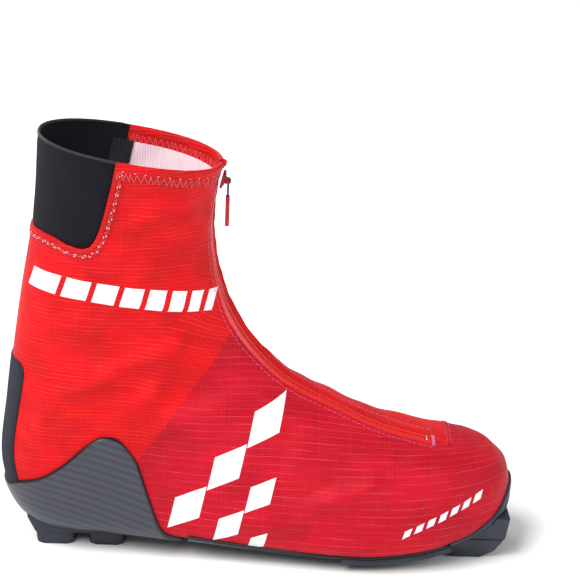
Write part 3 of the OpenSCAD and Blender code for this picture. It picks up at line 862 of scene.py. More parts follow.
def moulded(name, colour, roughness, grain, depth, scuff, **fixed):
    """Moulded plastic or rubber: fine grain, and light scuffs."""
    m = Material(name, roughness, **fixed)
    place, *_ = m.object_mm()
    fine = m.noise(place, grain, 4.0, 0.6)
    pale = lighter(colour, 1.25, 14)
    scuffs = m.step(m.noise(place, 0.09, 3.0), 0.42, 0.72, 0.0, scuff * 2.5)
    tone = m.mix(scuffs, srgb(*colour), pale)
    tone = m.mix(m.step(fine, 0.55, 0.8, 0.0, scuff), tone, pale)
    return m.finish(tone, m.step(fine, 0.2, 0.8, roughness - 0.08, roughness + 0.1), fine, depth)


def twill(name):
    """Carbon fibre in 2/2 twill under a satin lacquer."""
    m = Material(name, 0.42, Coat_Weight=0.12, Coat_Roughness=0.35, Specular_IOR_Level=0.4)
    u, v = m.cloth_mm()
    tow, turn = 1.6, math.radians(32)
    c, s = math.cos(turn), math.sin(turn)
    along, across = (m.math("DIVIDE", w, tow) for w in (u * c + v * s, v * c - u * s))
    cell = m.math("FLOOR", along) + m.math("FLOOR", across)
    warp = m.math("LESS_THAN", m.math("MODULO", cell + 4000.0, 4.0), 1.5)
    over, under = (m.math("SINE", m.math("FRACT", w) * math.pi) for w in (across, along))
    hump = warp * over + (1.0 - warp) * under
    fibre = m.streaks(along * 0.6, across * 9.0)
    broad = m.streaks(u * 0.04, v * 0.04, 2.0)
    # tows on top one way a lighter grey than those on top the other way: painted reflection of the
    # fibres' directional sheen
    tone = m.mix(warp, srgb(44, 47, 57), srgb(60, 64, 76))
    tone = m.mix(m.step(broad, 0.35, 0.65, 0.0, 0.25), tone, srgb(47, 49, 58))
    # darker towards each tow's edges, where it dips under its neighbours: painted shade between the
    # tows
    tone = m.mix(m.step(hump, 0.1, 0.75, 0.4, 0.0), tone, srgb(28, 30, 38))
    tone = m.mix(m.step(fibre, 0.4, 0.7, 0.0, 0.2), tone, srgb(90, 94, 107))
    return m.finish(tone, m.step(fibre, 0.3, 0.7, 0.3, 0.42), hump, 0.03)


def coated(name, colour):
    """The glossy film on a waterproof zip's tape, with the coil showing through as fine ribs."""
    m = Material(name, 0.28, Coat_Weight=0.2, Coat_Roughness=0.15, Specular_IOR_Level=0.5)
    u, _ = m.cloth_mm()
    rough = m.noise(m.object_mm()[0], 0.8, 3.0)
    tone = m.mix(m.step(rough, 0.4, 0.7, 0.0, 0.2), srgb(*colour), srgb(240, 60, 44))
    height = m.wave(u, 1.3) * 0.5 + rough * 0.3
    return m.finish(tone, m.step(rough, 0.3, 0.7, 0.24, 0.4), height, 0.03)


def thread(name, colour, light):
    m = Material(name, 0.6, Sheen_Weight=0.2, Specular_IOR_Level=0.3)
    twist = m.noise(m.object_mm()[0], 6.0, 3.0, 0.7)
    tone = m.mix(m.step(twist, 0.35, 0.65), srgb(*colour), srgb(*light))
    return m.finish(tone, m.step(twist, 0.2, 0.8, 0.5, 0.7), twist, 0.05)


def lining(name, colour, hole):
    """Warp-knit lining mesh: small upright holes."""
    m = Material(name, 0.75, Sheen_Weight=0.15, Specular_IOR_Level=0.25)
    u, v = m.cloth_mm()
    holes = m.lines(u + 0.75, 1.5, 0.45, 0.2) * m.lines(v, 1.2, 0.5, 0.2)
    broad = m.streaks(u * 0.4, v * 0.05)
    tone = m.mix(m.step(broad, 0.3, 0.7, 0.0, 0.5), srgb(*colour), lighter(colour, 1, 18))
    tone = m.mix(holes * 0.4, tone, srgb(*hole))
    height = m.lines(u, 1.5, 0.6, 0.25) - holes
    return m.finish(tone, m.step(broad, 0.2, 0.8, 0.68, 0.8), height, 0.12)


def metal(name, colour, roughness):
    m = Material(name, roughness, Metallic=1.0)
    brushed = m.noise(m.object_mm()[0], 1.6, 5.0, 0.7)
    tone = m.mix(m.step(brushed, 0.3, 0.7), srgb(*colour), srgb(*[int(c * 0.82) for c in colour]))
    rough = m.step(brushed, 0.2, 0.8, roughness - 0.06, roughness + 0.12)
    return m.finish(tone, rough, brushed, 0.01)


def webbing(name, colour):
    """Narrow woven tape: ribs across it."""
    m = Material(name, 0.7, Sheen_Weight=0.2, Specular_IOR_Level=0.25)
    place, x, y, z = m.object_mm()
    fleck = m.noise(place, 2.0, 3.0)
    tone = m.mix(m.step(fleck, 0.4, 0.7), srgb(*colour), lighter(colour, 1, 22))
    ribs = m.wave(x + z, 0.7) * m.wave(y, 0.5)
    return m.finish(tone, m.step(fleck, 0.2, 0.8, 0.62, 0.78), ribs, 0.1)


RED, DARK_RED = (212, 3, 20), (188, 3, 32)
PRINT_EDGE = (75.0, 58.0, 0.71)
M_LATERAL = ripstop("softshell_lateral", RED, DARK_RED, PRINT_EDGE)
M_MEDIAL = ripstop("softshell_medial", RED)
M_HEM = ripstop("hem", (203, 4, 20))
M_WELT = ripstop("welt", (206, 3, 20))
M_PRINT = ripstop("white_print", (240, 240, 243), white=True)
M_ELASTIC = knit("elastic_knit", (9, 11, 20), depth=0.2, sheen=0.03)
M_INNER = knit("inner_fabric", (44, 44, 50), 1.6, 0.2)
M_FOAM = knit("foam_cover", (30, 31, 36), 1.2, 0.15)
M_STAY = knit("stay_fabric", (28, 31, 40), 1.1, 0.2, 0.05)
M_FLAP = knit("flap_fabric", (120, 16, 26), 0.8, 0.08)
M_LINING = lining("lining_mesh", (246, 216, 224), (214, 140, 152))
M_TAPE = knit("seam_tape", (24, 24, 30), 0.8, 0.06, 0.05)
M_CARBON = twill("carbon_twill")
M_RIM = moulded("black_edge", (14, 16, 22), 0.35, 2.0, 0.02, 0.05)
M_RUBBER = moulded("sole_rubber", (32, 36, 48), 0.55, 3.0, 0.05, 0.12)
M_BLOCK = moulded("toe_block_plastic", (36, 41, 54), 0.42, 2.4, 0.03, 0.12)
M_RAND = moulded("rand_rubber", (30, 34, 45), 0.5, 3.0, 0.04, 0.12)
M_BLACK = moulded("black_plastic", (22, 23, 28), 0.42, 2.0, 0.02, 0.1)
M_RED_PLASTIC = moulded("red_plastic", (168, 16, 26), 0.4, 2.0, 0.02, 0.1)
M_BOARD = moulded("board", (170, 160, 140), 0.8, 0.8, 0.08, 0.2)
M_PUFF = moulded("stiffener", (214, 208, 196), 0.7, 1.2, 0.06, 0.2)
M_ZIP = coated("zip_film", (206, 16, 16))
M_COIL = moulded("zip_coil", (84, 8, 12), 0.4, 2.0, 0.02, 0.1)
M_SLIDER = moulded("red_paint", (150, 14, 24), 0.3, 2.0, 0.01, 0.15, Metallic=0.2)
M_STEEL = metal("steel", (196, 198, 202), 0.28)
M_DARK_STEEL = metal("dark_steel", (58, 58, 64), 0.35)
M_LACE = webbing("lace_braid", (26, 26, 31))
M_WEBBING = webbing("loop_webbing", (30, 30, 36))
M_THREAD_PINK = thread("thread_pink", (176, 44, 96), (226, 120, 160))
M_THREAD_DARK = thread("thread_dark", (92, 8, 28), (150, 30, 50))
M_THREAD_RED = thread("thread_red", (205, 24, 40), (255, 116, 112))
M_THREAD_PALE = thread("thread_pale", (216, 190, 204), (250, 244, 248))
M_THREAD_BLACK = thread("thread_black", (10, 11, 17), (30, 31, 40))

# ---------------------------------------------------------------- outlines seen from the side
ELASTIC_EDGE = [[-40, 184], [20, 182], [36, 178], [44, 177], [49, 180], [53, 189],
                [57, 205], [60, 220], [62, 232], [66, 260], [-40, 260]]
CUP_EDGE = [[-20, 40], [3, 36], [11, 40], [23, 45], [35, 54], [44, 63], [50, 68], [56, 71],
            [64, 70], [70, 64], [75, 57], [79, 46], [84, 32], [88, 21], [93, 14], [103, 8],
            [112, -20], [-20, -20]]
RAND_EDGE = [[200, 10], [252, 16], [266, 21], [276, 28], [282, 36], [290, 50], [300, 100],
             [200, 100]]
IN_ELASTIC = inside(smooth_outline(ELASTIC_EDGE))
IN_CUP = inside(smooth_outline(CUP_EDGE))
OVER_RAND = inside(smooth_outline(RAND_EDGE))
SIDES = ((1, "lateral"), (-1, "medial"))
SLOT = 3.6
HEM = 10.2
COLLAR_FRONT, COLLAR_NORMAL = (117.1, 219.4), (0.1443, 0.9895)
CELL = 2.2 if FINE else 4.0
COLUMNS = 66 if FINE else 36


def below_collar(t, angle):
    """mm below the plane of the collar's edge."""
    (x, z), (nx, nz) = COLLAR_FRONT, COLLAR_NORMAL
    p = skin(t, angle)
    return -((p[..., 0] - x) * nx + (p[..., 2] - z) * nz)


def out_of_slot(t, angle):
    """mm outside the zip's slot, whose lower end is just in front of the zip."""
    across = np.where(np.cos(angle) > 0, np.abs(from_zip(t, angle)) - SLOT, 60)
    return np.maximum(across, (3.93 - t) * 25)


def share_round(t, angle):
    """0 at the zip line to 10 at the back or bottom, on each side."""
    middle = angle_off(t)
    return np.where(angle > middle, (angle - middle) / (math.pi - middle),
                    (middle - angle) / (math.pi + middle)) * 10


T_TOE = even_t(0, ZIP_END, CELL)
T_REST = even_t(ZIP_END, LAST, CELL)
T_ALL = np.append(T_TOE[:-1], T_REST)


def side_grid(t, side, columns=COLUMNS):
    """A patch over one side, from the zip line to the back or bottom."""
    middle = angle_off(t)
    if side > 0:
        return grid(t, angles_between(t, middle, math.pi, columns))
    return grid(t, angles_between(t, -math.pi, middle, columns))


def with_cap(patch, t):
    """Closes a wrapped patch's first ring."""
    ta, faces = patch
    cols = len(ta) // len(t)
    return ta, [tuple(range(cols))] + faces


def profile(value, *pairs):
    """Depth as a function of (t, angle), through (value, depth) pairs."""
    xs, ys = zip(*pairs)
    return lambda t, a: np.interp(value(t, a), xs, ys)


def scored_at(patch, value, *levels):
    """A patch with edge lines where value is at each level."""
    for level in levels:
        patch = scored(patch, less(value, level))
    return patch


OFF_ELASTIC = under(IN_ELASTIC, 0)
ABOVE_CUP = under(IN_CUP, 0)


# ---------------------------------------------------------------- outer fabric
def softshell():
    """The lateral panel with the toe cap, and the medial panel, each with turned edges at the zip."""
    cols = COLUMNS
    ta, faces = wrapped_grid(T_ALL, cols)
    # the whole ring at the toe, and only its lateral half behind the toe cap
    toe_rows = len(T_TOE) - 1
    kept = [f for n, f in enumerate(faces) if n // (2 * cols) < toe_rows or n % (2 * cols) >= cols]
    lateral = ta, [tuple(range(2 * cols))] + kept
    medial = side_grid(T_REST, -1)
    outer = profile(out_of_slot, (0, -0.5), (0.3, -0.12), (0.8, 0), (5, 0))
    for name, patch, material, node, medial_side in (
            ("upper_lateral", lateral, M_LATERAL, "outer_lateral", False),
            ("upper_medial", medial, M_MEDIAL, "outer_medial", True)):
        patch = scored_at(cut(patch, out_of_slot), out_of_slot, 0.3, 0.8)
        patch = cut(patch, OFF_ELASTIC, less(below_collar, 1.2))
        shell_piece(name, patch, outer, -1.1, material, node.replace("outer", "softshell"),
                    cloth, medial_side, replaces=node)


def from_zip_on(line):
    """A line's points, those nearest the zip first."""
    first, last = np.abs(from_zip(line[[0, -1], 0], line[[0, -1], 1]))
    return line if first < last else line[::-1]


def longest(patch, value):
    """The longest line where value = 0, with its angles unwrapped."""
    line = max(outline(patch, value), key=len).copy()
    line[:, 1] = np.unwrap(line[:, 1])
    return line


def collar():
    """Folded hem, its zigzag and the lining."""
    t = even_t(12.2, LAST, 1.6 if FINE else 3)
    outside = profile(below_collar, (0, -0.5), (0.25, 0.1), (0.7, 0.55), (1.4, 0.8), (3.9, 0.8),
                      (4.5, 0.5), (7, 0.62), (HEM - 0.6, 0.5), (HEM, 0.1))
    within = profile(below_collar, (0, -0.7), (0.25, -1.3), (0.7, -1.75), (1.4, -2.0),
                     (3.9, -2.05), (4.5, -1.8), (HEM - 0.6, -1.85), (HEM, -1.5))
    red, dark, pale = [], [], []
    for side, name in SIDES:
        patch = cut(side_grid(t, side), out_of_slot, less(OFF_ELASTIC, -0.4),
                    under(below_collar, HEM))
        patch = scored_at(patch, below_collar, 0.25, 0.7, 1.4, 3.9, 4.5, 7, HEM - 0.6)
        shell_piece("collar_hem_" + name, patch, outside, within, M_HEM, "hem_red", cloth,
                    side < 0)
        open_side = cut(side_grid(t, side), less(out_of_slot, 1.5), less(OFF_ELASTIC, 1.0))
        line = lambda below: from_zip_on(longest(open_side, less(below_collar, below)))
        red.append(zigzag(line(4.7), line(9.3), 3.1, 0.72, 0.2))
        # a darker zigzag just below and beside the red one: partly dark thread, partly painted shadow
        # between the stitches
        dark.append(zigzag(line(5.0), line(9.5), 3.1, 0.62, 0.24))
        red.append(zigzag(line(4.7), line(9.3), 3.1, -2.0, 0.2))
        pale.append(seam(line(9.9), 2.6, 1.9, -1.95, 0.22))
        pale.append(seam(line(4.3), 6.2, 1.0, 0.7, 0.18))
    piece("collar_zigzag", joined(red), M_THREAD_RED)
    piece("collar_zigzag_under", joined(dark), M_THREAD_DARK)
    piece("collar_stitches_pale", joined(pale), M_THREAD_PALE)
    linings = []
    for side, _ in SIDES:
        patch = cut(side_grid(t, side, COLUMNS // 2), less(out_of_slot, 1.0),
                    less(OFF_ELASTIC, 7.5), less(below_collar, 9.0), under(below_collar, 62))
        linings.append(shell(patch, -1.3, -2.0, cloth, side < 0))
    piece("shaft_lining", joined(linings), M_LINING, "lining_white")


def cuff():
    """The elastic at the back of the collar, the binding along its edge and its cover stitch."""
    t = even_t(12.2, LAST, 1.8 if FINE else 3)
    whole = wrapped_grid(t, COLUMNS)
    rise = profile(IN_ELASTIC, (-4, -1.3), (-0.2, -1.25), (1.2, -0.55), (3.5, -0.15), (9, 0.1))
    patch = scored_at(cut(whole, less(IN_ELASTIC, -3.5)), IN_ELASTIC, 0, 1.2, 3.5)
    patch = scored_at(patch, below_collar, 0.3, 1.0, 1.9, 2.6)
    roll = profile(below_collar, (0, -0.75), (0.3, -0.3), (1.0, 0.12), (1.9, 0.0), (2.6, -0.3),
                   (4, 0))
    shell_piece("elastic_cuff", patch, lambda t, a: rise(t, a) + roll(t, a), less(rise, 1.15),
                M_ELASTIC, "elastic_black")
    ring = np.linspace(0, 2 * math.pi, 361)
    around = ring[IN_ELASTIC(np.full(len(ring), LAST - 0.03), ring) > -0.5]
    edge_roll = tube(skin(np.full(len(around), LAST - 0.02), around, -0.55), 0.85, 8)
    piece("elastic_edge_roll", edge_roll, M_THREAD_BLACK)
    # binding along the U
    band = cut(whole, less(OFF_ELASTIC, -0.5), under(OFF_ELASTIC, 6.0), less(below_collar, 0.8))
    band = scored_at(band, OFF_ELASTIC, -0.2, 0.4, 1.8, 2.4, 5.0, 5.6)
    proud = profile(OFF_ELASTIC, (-0.5, -0.4), (-0.2, 0.15), (0.4, 0.55), (1.8, 0.6), (2.4, 0.3),
                    (3.4, 0.42), (4.6, 0.3), (5.0, 0.42), (5.6, 0.4), (6.0, -0.05))
    low = profile(OFF_ELASTIC, (-0.5, -1.0), (0.4, -0.7), (1, -0.4), (6, -0.4))
    shell_piece("cuff_binding", band, proud, low, M_HEM, place=cloth)
    region = cut(whole, less(below_collar, 5.0))
    line = lambda off: longest(region, less(OFF_ELASTIC, off))
    row = lambda off, pitch: seam(line(off), pitch, 1.25, 0.5, 0.22, wobble=0.3)
    dark = [row(off, 1.9) for off in (2.4, 4.6)]
    pale = [row(off, 5.1) for off in (2.9, 4.1)]
    upper, lower = line(2.5), line(4.5)
    if np.linalg.norm(upper[0] - lower[0]) > np.linalg.norm(upper[0] - lower[-1]):
        lower = lower[::-1]
    cross = zigzag(upper, lower, 2.0, 0.42, 0.13)
    piece("cuff_stitches_dark", joined(dark), M_THREAD_DARK)
    piece("cuff_stitches_pale", joined(pale), M_THREAD_PALE)
    piece("cuff_cover_stitch", cross, M_THREAD_RED)
    # tape over the seam inside
    tape = cut(whole, less(OFF_ELASTIC, -4.5), under(OFF_ELASTIC, 7.6), less(below_collar, 8.6))
    shell_piece("cuff_seam_tape", tape, -2.3, -2.75, M_TAPE, "seam_tape", cloth)


# ---------------------------------------------------------------- zip
T_ZIP = even_t(3.94, 14.86, 2.0 if FINE else 4)
WELT_START, WELT_END = 3.96, 14.4


def strip(t, offs, depths, below):
    """Points, faces and coordinates of a narrow strip at distances offs from the zip line."""
    patch = grid(t, np.stack([angle_off(t, o) for o in offs], 1))
    points, faces, _ = shell(patch, *(lambda tt, aa, row=row: np.tile(row, len(t))
                                      for row in (depths, below)))
    along = np.repeat(lengths_along(skin(t, angle_off(t))), len(offs))
    return points, faces, np.tile(np.stack([along, np.tile(offs, len(t))], -1), (2, 1))


def bar_across(t, start, end, depths, radius, sides=5, place=skin):
    """One stitch or wire across the zip at t, between two distances from its line."""
    ends = [[place(t, angle_off(t, off), depth) for off, depth in zip((start, end), depths)]]
    return stitches(ends, outward(np.array([[t, angle_off(t)]])), radius, sides)


def zip_parts():
    """Tapes, coils, stops, the garage over the top end and the bar tack at the lower end."""
    offs = np.array([0.4, 0.55, 0.8, 1.2, 1.9, 2.5, 3.0, 3.4, 4.3])
    depths = np.array([-0.35, 0.1, 0.36, 0.46, 0.42, 0.25, -0.05, -0.45, -0.6])
    below = np.array([-0.45, -0.3, -0.2, -0.15, -0.2, -0.35, -0.55, -0.75, -0.9])
    length = lengths_along(skin(T_ZIP, angle_off(T_ZIP)))
    teeth = np.interp(np.arange(0.4, length[-1], 1.3 if FINE else 3.9), length, T_ZIP)
    normals = outward(np.stack([teeth, angle_off(teeth)], -1))
    for side, name in SIDES:
        tape = strip(T_ZIP, (side * offs)[::side], depths[::side], below[::side])
        piece("zip_tape_" + name, tape, M_ZIP, "zip_tape")
        # coil: one rounded loop of monofilament for each tooth
        ends = np.stack([skin(teeth, angle_off(teeth, side * 0.05), -0.72),
                         skin(teeth, angle_off(teeth, side * 2.1), -0.86)], 1)
        piece("zip_coil_" + name, stitches(ends, normals, 0.36), M_COIL, "zip_coil")
    # stops: two clamped on the tape ends, one across the bottom
    tops = [bar_across(t, side * 0.3, side * 1.9, (0.75, 0.7), 0.5, 8)
            for side, _ in SIDES for t in (14.74, 14.79, 14.84)]
    piece("zip_top_stops", joined(tops), M_DARK_STEEL, "steel")
    piece("zip_bottom_stop", bar_across(4.05, -2.1, 2.1, (0.6, 0.6), 0.62, 10), M_STEEL, "steel")
    # garage: a folded tab over the tape ends at the collar
    arch = np.array([1.1, 1.75, 2.1, 2.2, 2.1, 1.75, 1.1])
    garage = strip(np.linspace(14.84, 14.995, 5), np.linspace(-3.9, 3.9, 7), arch, arch - 0.9)
    piece("zip_garage", garage, M_HEM, "hem_red")
    tack = [bar_across(3.86 + 0.008 * k, -5.2 + RNG.normal(0, 0.3), 4.9 + RNG.normal(0, 0.3),
                       (0.15, 0.15), 0.2, place=cloth) for k in range(9)]
    piece("zip_bar_tack", joined(tack), M_THREAD_PINK)


def welt():
    """The medial panel's edge, rolled over beside the zip."""
    t = even_t(WELT_START, WELT_END, 2.0 if FINE else 4)
    offs = np.array([-10.2, -9.4, -8.2, -6.9, -5.8, -5.1, -4.6, -3.7])
    crown = np.array([0.0, 0.62, 1.15, 1.5, 1.45, 1.05, 0.5, 0.0])
    fade = np.clip(np.minimum((t - WELT_START) / 0.25, (WELT_END - t) / 0.7), 0, 1) ** 0.6
    # lower where the slider passes
    fade = fade * np.interp(t, [WELT_START, 5.4, 6.7, 7.6], [0.35, 0.4, 0.5, 1])
    swell = 1 + 0.1 * np.sin(t * 5.1) + 0.06 * np.sin(t * 11.7 + 1)
    patch = grid(t, np.stack([angle_off(t, o) for o in offs], 1))
    high = (crown[None] * (fade * swell)[:, None]).ravel()
    shell_piece("zip_welt", patch, lambda tt, aa: high, lambda tt, aa: np.minimum(high, 0) - 0.7,
                M_WELT, place=cloth, medial=True)


def topstitching():
    """Single rows of stitches beside the zip, and the toe cap's turned and sewn medial edge."""
    t = even_t(3.9, 14.3, 2.0)
    rows = [seam(np.stack([t, angle_off(t, off)], -1), 3.0, 2.1, 0.1, 0.19)
            for off in (SLOT + 3.5, -11.4)]
    for offset in (0.035, -0.05):
        a = np.linspace(angle_off(ZIP_END + offset) - 0.02, -math.pi * 0.72, 60)
        line = np.stack([np.full(len(a), ZIP_END + offset), a], -1)
        rows.append(seam(line, 3.0, 2.1, 0.25, 0.19))
    piece("topstitching", joined(rows), M_THREAD_PINK)
    t = np.array([3.44, 3.455, 3.47, 3.53, 3.56, 3.58])
    angles = np.stack([np.linspace(-math.pi * 0.7, float(angle_off(ZIP_END)), 40)] * len(t))
    high = np.repeat([-0.1, 0.3, 0.45, 0.45, 0.3, -0.1], 40)
    shell_piece("toe_cap_seam", grid(t, angles), lambda tt, aa: high, lambda tt, aa: high - 0.6,
                M_LATERAL, place=cloth)


# ---------------------------------------------------------------- shells and sole
def carbon_piece(name, patch, outer, value, width):
    """A carbon shell whose faces nearer its outline than width are its black edge."""
    solid = shell(patch, outer, 0.15)
    t, a = patch[0][sorted({i for f in patch[1] for i in f})].T
    from_edge = np.tile(value(t, a), 2)
    near = [int(max(from_edge[i] for i in f) <= width + 1e-6) for f in solid[1]]
    piece(name, solid, [M_CARBON, M_RIM], "carbon", face_material=near)


def x_of(t, angle):
    """mm from the heel towards the toe."""
    return skin(t, angle)[..., 0]


def up_side(t, angle):
    """mm in from the sole's edge, about."""
    return (share_round(t, angle) - 7) * 9


WHOLE_SOLE = wrapped_grid(even_t(0.5, 8.6, 2.2 if FINE else 4), COLUMNS)
SIPE_PITCH = 9.5


def heel_cup():
    """The carbon counter, thinner towards its rolled black edge."""
    patch = cut(wrapped_grid(even_t(7.3, 12.2, 1.8 if FINE else 3.5), COLUMNS), IN_CUP)
    patch = scored_at(patch, IN_CUP, 0.15, 0.45, 0.95, 1.6)
    rise = profile(IN_CUP, (0, 0.5), (0.15, 1.2), (0.45, 1.75), (0.95, 2.2), (1.6, 2.35))
    carbon_piece("heel_cup", patch, rise, IN_CUP, 0.95)


def from_back(t, angle):
    """mm round the ring from the middle of the back."""
    whole = ring_length(t, np.full(np.shape(t), math.pi))
    here = ring_length(t, (np.asarray(angle) + math.pi) % (2 * math.pi) - math.pi)
    return np.minimum(here, whole - here)


def heel_stay():
    """The fabric strip up the back, with a sewn edge."""
    def in_stay(t, a):
        z = skin(t, a)[..., 2]
        return 8 - np.hypot(np.maximum(from_back(t, a) - 19, 0), np.maximum(z - 99, 0))
    whole = wrapped_grid(even_t(10.2, 12.9, 1.6 if FINE else 3), COLUMNS)
    patch = scored_at(cut(whole, in_stay, less(ABOVE_CUP, -2.0)), in_stay, 0.3, 1.0, 1.6)
    rise = profile(in_stay, (0, 0.1), (0.3, 0.62), (1.0, 0.78), (1.6, 0.55), (2.4, 0.8))
    shell_piece("heel_stay", patch, rise, -0.3, M_STAY, "stay_black")
    line = longest(cut(whole, less(ABOVE_CUP, 0.6)), less(in_stay, 2.0))
    piece("stay_stitches", seam(line, 2.8, 2.0, 0.72, 0.18, place=skin), M_THREAD_BLACK)


def sole_plate():
    """The carbon plate, as far back as the heel cup."""
    patch = scored_at(cut(WHOLE_SOLE, up_side, less(x_of, 104.3)), up_side, 0.3, 0.8)
    rise = profile(up_side, (0, 0.9), (0.3, 1.45), (0.8, 1.75))
    carbon_piece("sole_plate", patch, rise, up_side, 0.8)


def ball_tread():
    """The rubber under the ball, with two guide grooves and slanted sipes."""
    behind = lambda t, a: x_of(t, a) - 192 + 0.35 * (10 - up_side(t, a).clip(0, 10))
    tread = cut(WHOLE_SOLE, up_side, behind, under(x_of, 248.8))
    guide = lambda t, a: 3 - np.abs(np.abs(skin(t, a)[..., 1]) - 15)

    def along_slant(t, a):
        p = skin(t, a)
        return p[..., 0] + 0.45 * np.abs(p[..., 1])
    sipe = lambda t, a: 0.8 - np.abs(along_slant(t, a) % SIPE_PITCH - SIPE_PITCH / 2)
    if FINE:
        # each sipe's middle first, so that no sipe falls between two points of a face
        tread = scored(tread, lambda t, a: np.sin(along_slant(t, a) * 2 * math.pi / SIPE_PITCH))
        for value in (guide, sipe):
            tread = scored_at(tread, value, 0, 0.35)
    edge = profile(up_side, (0, 3.4), (0.3, 4.0), (1.0, 4.5))

    def depth(t, a):
        sunk = np.maximum(np.clip(guide(t, a) / 0.35, 0, 1),
                          np.clip(sipe(t, a) / 0.35, 0, 1) * (up_side(t, a) > 3))
        return edge(t, a) - 2.0 * sunk
    shell_piece("forefoot_tread", scored_at(tread, up_side, 0.3, 1.0), depth, 1.8, M_RUBBER,
                "rubber_black", sharp=30)


def toe_rand():
    """The rubber rim round the toe, with two grooves along it."""
    t = even_t(0, 4.3, 1.6 if FINE else 3.2)
    below_edge = under(OVER_RAND, 0)
    clear = lambda t, a: np.maximum((0.45 - t) * 30, (6.9 - share_round(t, a)) * 9)
    rand = cut(with_cap(wrapped_grid(t, COLUMNS), t), below_edge, clear, less(x_of, 249))
    heights = [(0, 0.5), (0.25, 1.15), (0.7, 1.5), (2.0, 1.65), (2.35, 0.9), (2.9, 0.9),
               (3.25, 1.65), (4.6, 1.65), (4.95, 0.9), (5.5, 0.9), (5.85, 1.65)]
    rand = scored_at(rand, below_edge, *[down for down, _ in heights[1:]])
    shell_piece("toe_rand", rand, profile(below_edge, *heights), 0.12, M_RAND, "rubber_black",
                sharp=30)


def below_boot(t0, t1, depth):
    """A solid from the underside down, to shape the tops of the blocks below it."""
    patch = cut(wrapped_grid(even_t(t0, t1, 3), 30), lambda t, a: share_round(t, a) - 5.6)
    return shell(patch, 30, depth)[:2]


def prism(profile_xz, half, bevel):
    """Points and faces of a rounded prism along y over an outline in x and z."""
    bm = solid_from([(x, -z) for x, z in profile_xz][::-1], -half, half)
    rounded(bm, bevel, 3)
    return parts_of(bm, Matrix.Rotation(math.radians(-90), 4, "X"))


def cut_boxes(obj, boxes):
    """Cuts rounded boxes, each from its low corner, high corner and rounding, out of a mesh."""
    for low, high, bevel in boxes:
        size = [h - l for l, h in zip(low, high)]
        centre = [(h + l) / 2 for l, h in zip(low, high)]
        boolean(obj, brick(size, centre, bevel))


def as_piece(obj, name, material, body="boot"):
    """A scratch object's mesh as a piece."""
    mesh = obj.data
    mesh.materials.clear()
    bpy.data.objects.remove(obj)
    mesh.polygons.foreach_set("use_smooth", np.ones(len(mesh.polygons), bool))
    mesh.set_sharp_from_angle(angle=math.radians(35))
    return link(name, mesh, material, body)


def round_edges(obj, mm):
    modifier = obj.modifiers.new("edges", "BEVEL")
    modifier.width = mm * MM
    modifier.segments = 2
    modifier.limit_method = "ANGLE"
    return modifier


def blocks():
    """Toe block, heel base and the two heel lugs."""
    toe = [(249, 1), (251, 0), (268, 0), (276, 4), (282, 12), (284, 24), (249, 24)]
    block = scratch(*prism(toe, 24, 1.0))
    boolean(block, below_boot(0.5, 4.2, 1.85), "INTERSECT")
    # the binding bar's recess, the guide grooves, and a line round the sides
    cut_boxes(block, [((257, -10, -5), (300, 10, 12), 0.8),
                      ((240, 12, -5), (300, 18, 4.5), 0.6), ((240, -18, -5), (300, -12, 4.5), 0.6),
                      ((240, -40, 10.6), (300, -23.3, 11.3), 0.2),
                      ((240, 23.3, 10.6), (300, 40, 11.3), 0.2)])
    as_piece(block, "toe_block", M_BLOCK)
    base = [(19, 6.9), (70, 6.9), (74, 9), (74, 40), (14, 40), (14, 16)]
    block = scratch(*prism(base, 21, 1.2))
    boolean(block, below_boot(8, 11.5, 2.4), "INTERSECT")
    as_piece(block, "heel_base", M_RUBBER)
    for name, low, high in (("heel_lug_rear", 19, 41), ("heel_lug_front", 48, 69)):
        bm = solid_from(rounded_rectangle(low, high, 20, 4.5), 0, 7)
        rounded(bm, 1.6, 3, [e for e in bm.edges if all(v.co.z < 0.01 for v in e.verts)])
        block = scratch(*parts_of(bm))
        cut_boxes(block, [((low - 5, s - 3, -5), (high + 5, s + 3, 4.5), 0.5) for s in (15, -15)]
                  + [((low + 8, -10, -5), (low + 13, 10, 1.2), 0.3)])
        as_piece(block, name, M_RUBBER)


def turned(x, y, degrees):
    """A point turned about the origin."""
    c, s = math.cos(math.radians(degrees)), math.sin(math.radians(degrees))
    return x * c - y * s, x * s + y * c


def rounded_rectangle(low, high, half, radius):
    corners = [(high - radius, half - radius, 0), (low + radius, half - radius, 90),
               (low + radius, -half + radius, 180), (high - radius, -half + radius, 270)]
    return [(cx + x, cy + y) for cx, cy, start in corners
            for x, y in [turned(radius, 0, start + 15 * k) for k in range(7)]]


# ---------------------------------------------------------------- printed graphics
def slanted(x, z, width, height, lean, rise=0.0):
    """A parallelogram seen from the side: lower left corner, size, forward lean, and the rise
    of its level edges."""
    return [(x, z), (x + width, z + rise * width),
            (x + width + lean, z + rise * width + height), (x + lean, z + height)]


def rhombus(x, z, width, height):
    corners = ((width / 2, 0), (0, height / 2), (-width / 2, 0), (0, -height / 2))
    return [(x + a, z + b) for a, b in [turned(*corner, -38) for corner in corners]]


def decal(name, shapes, side):
    """A thin print of convex shapes on one side, each cut out exactly."""
    ta, faces = side_grid(even_t(0.4, LAST - 0.3, 1.2 if FINE else 2.5), side, 110 if FINE else 60)
    seen = lambda t, a: skin(t, a)[..., [0, 2]]
    xz = seen(*ta.T)
    parts = []
    for shape in shapes:
        shape = np.array(shape, float)
        near = ((xz > shape.min(0) - 3) & (xz < shape.max(0) + 3)).all(1)
        patch = ta, [f for f in faces if any(near[i] for i in f)]
        for a, b in zip(shape, np.roll(shape, -1, 0)):
            n = np.array((b[1] - a[1], a[0] - b[0]))
            n *= np.sign(n @ (shape.mean(0) - a)) / np.linalg.norm(n)
            patch = cut(patch, lambda t, angle, n=n, a=a: seen(t, angle) @ n - a @ n)
        if patch[1]:
            parts.append(shell(patch, 0.1, -0.2, cloth, side < 0))
    piece(name, joined(parts), M_PRINT)


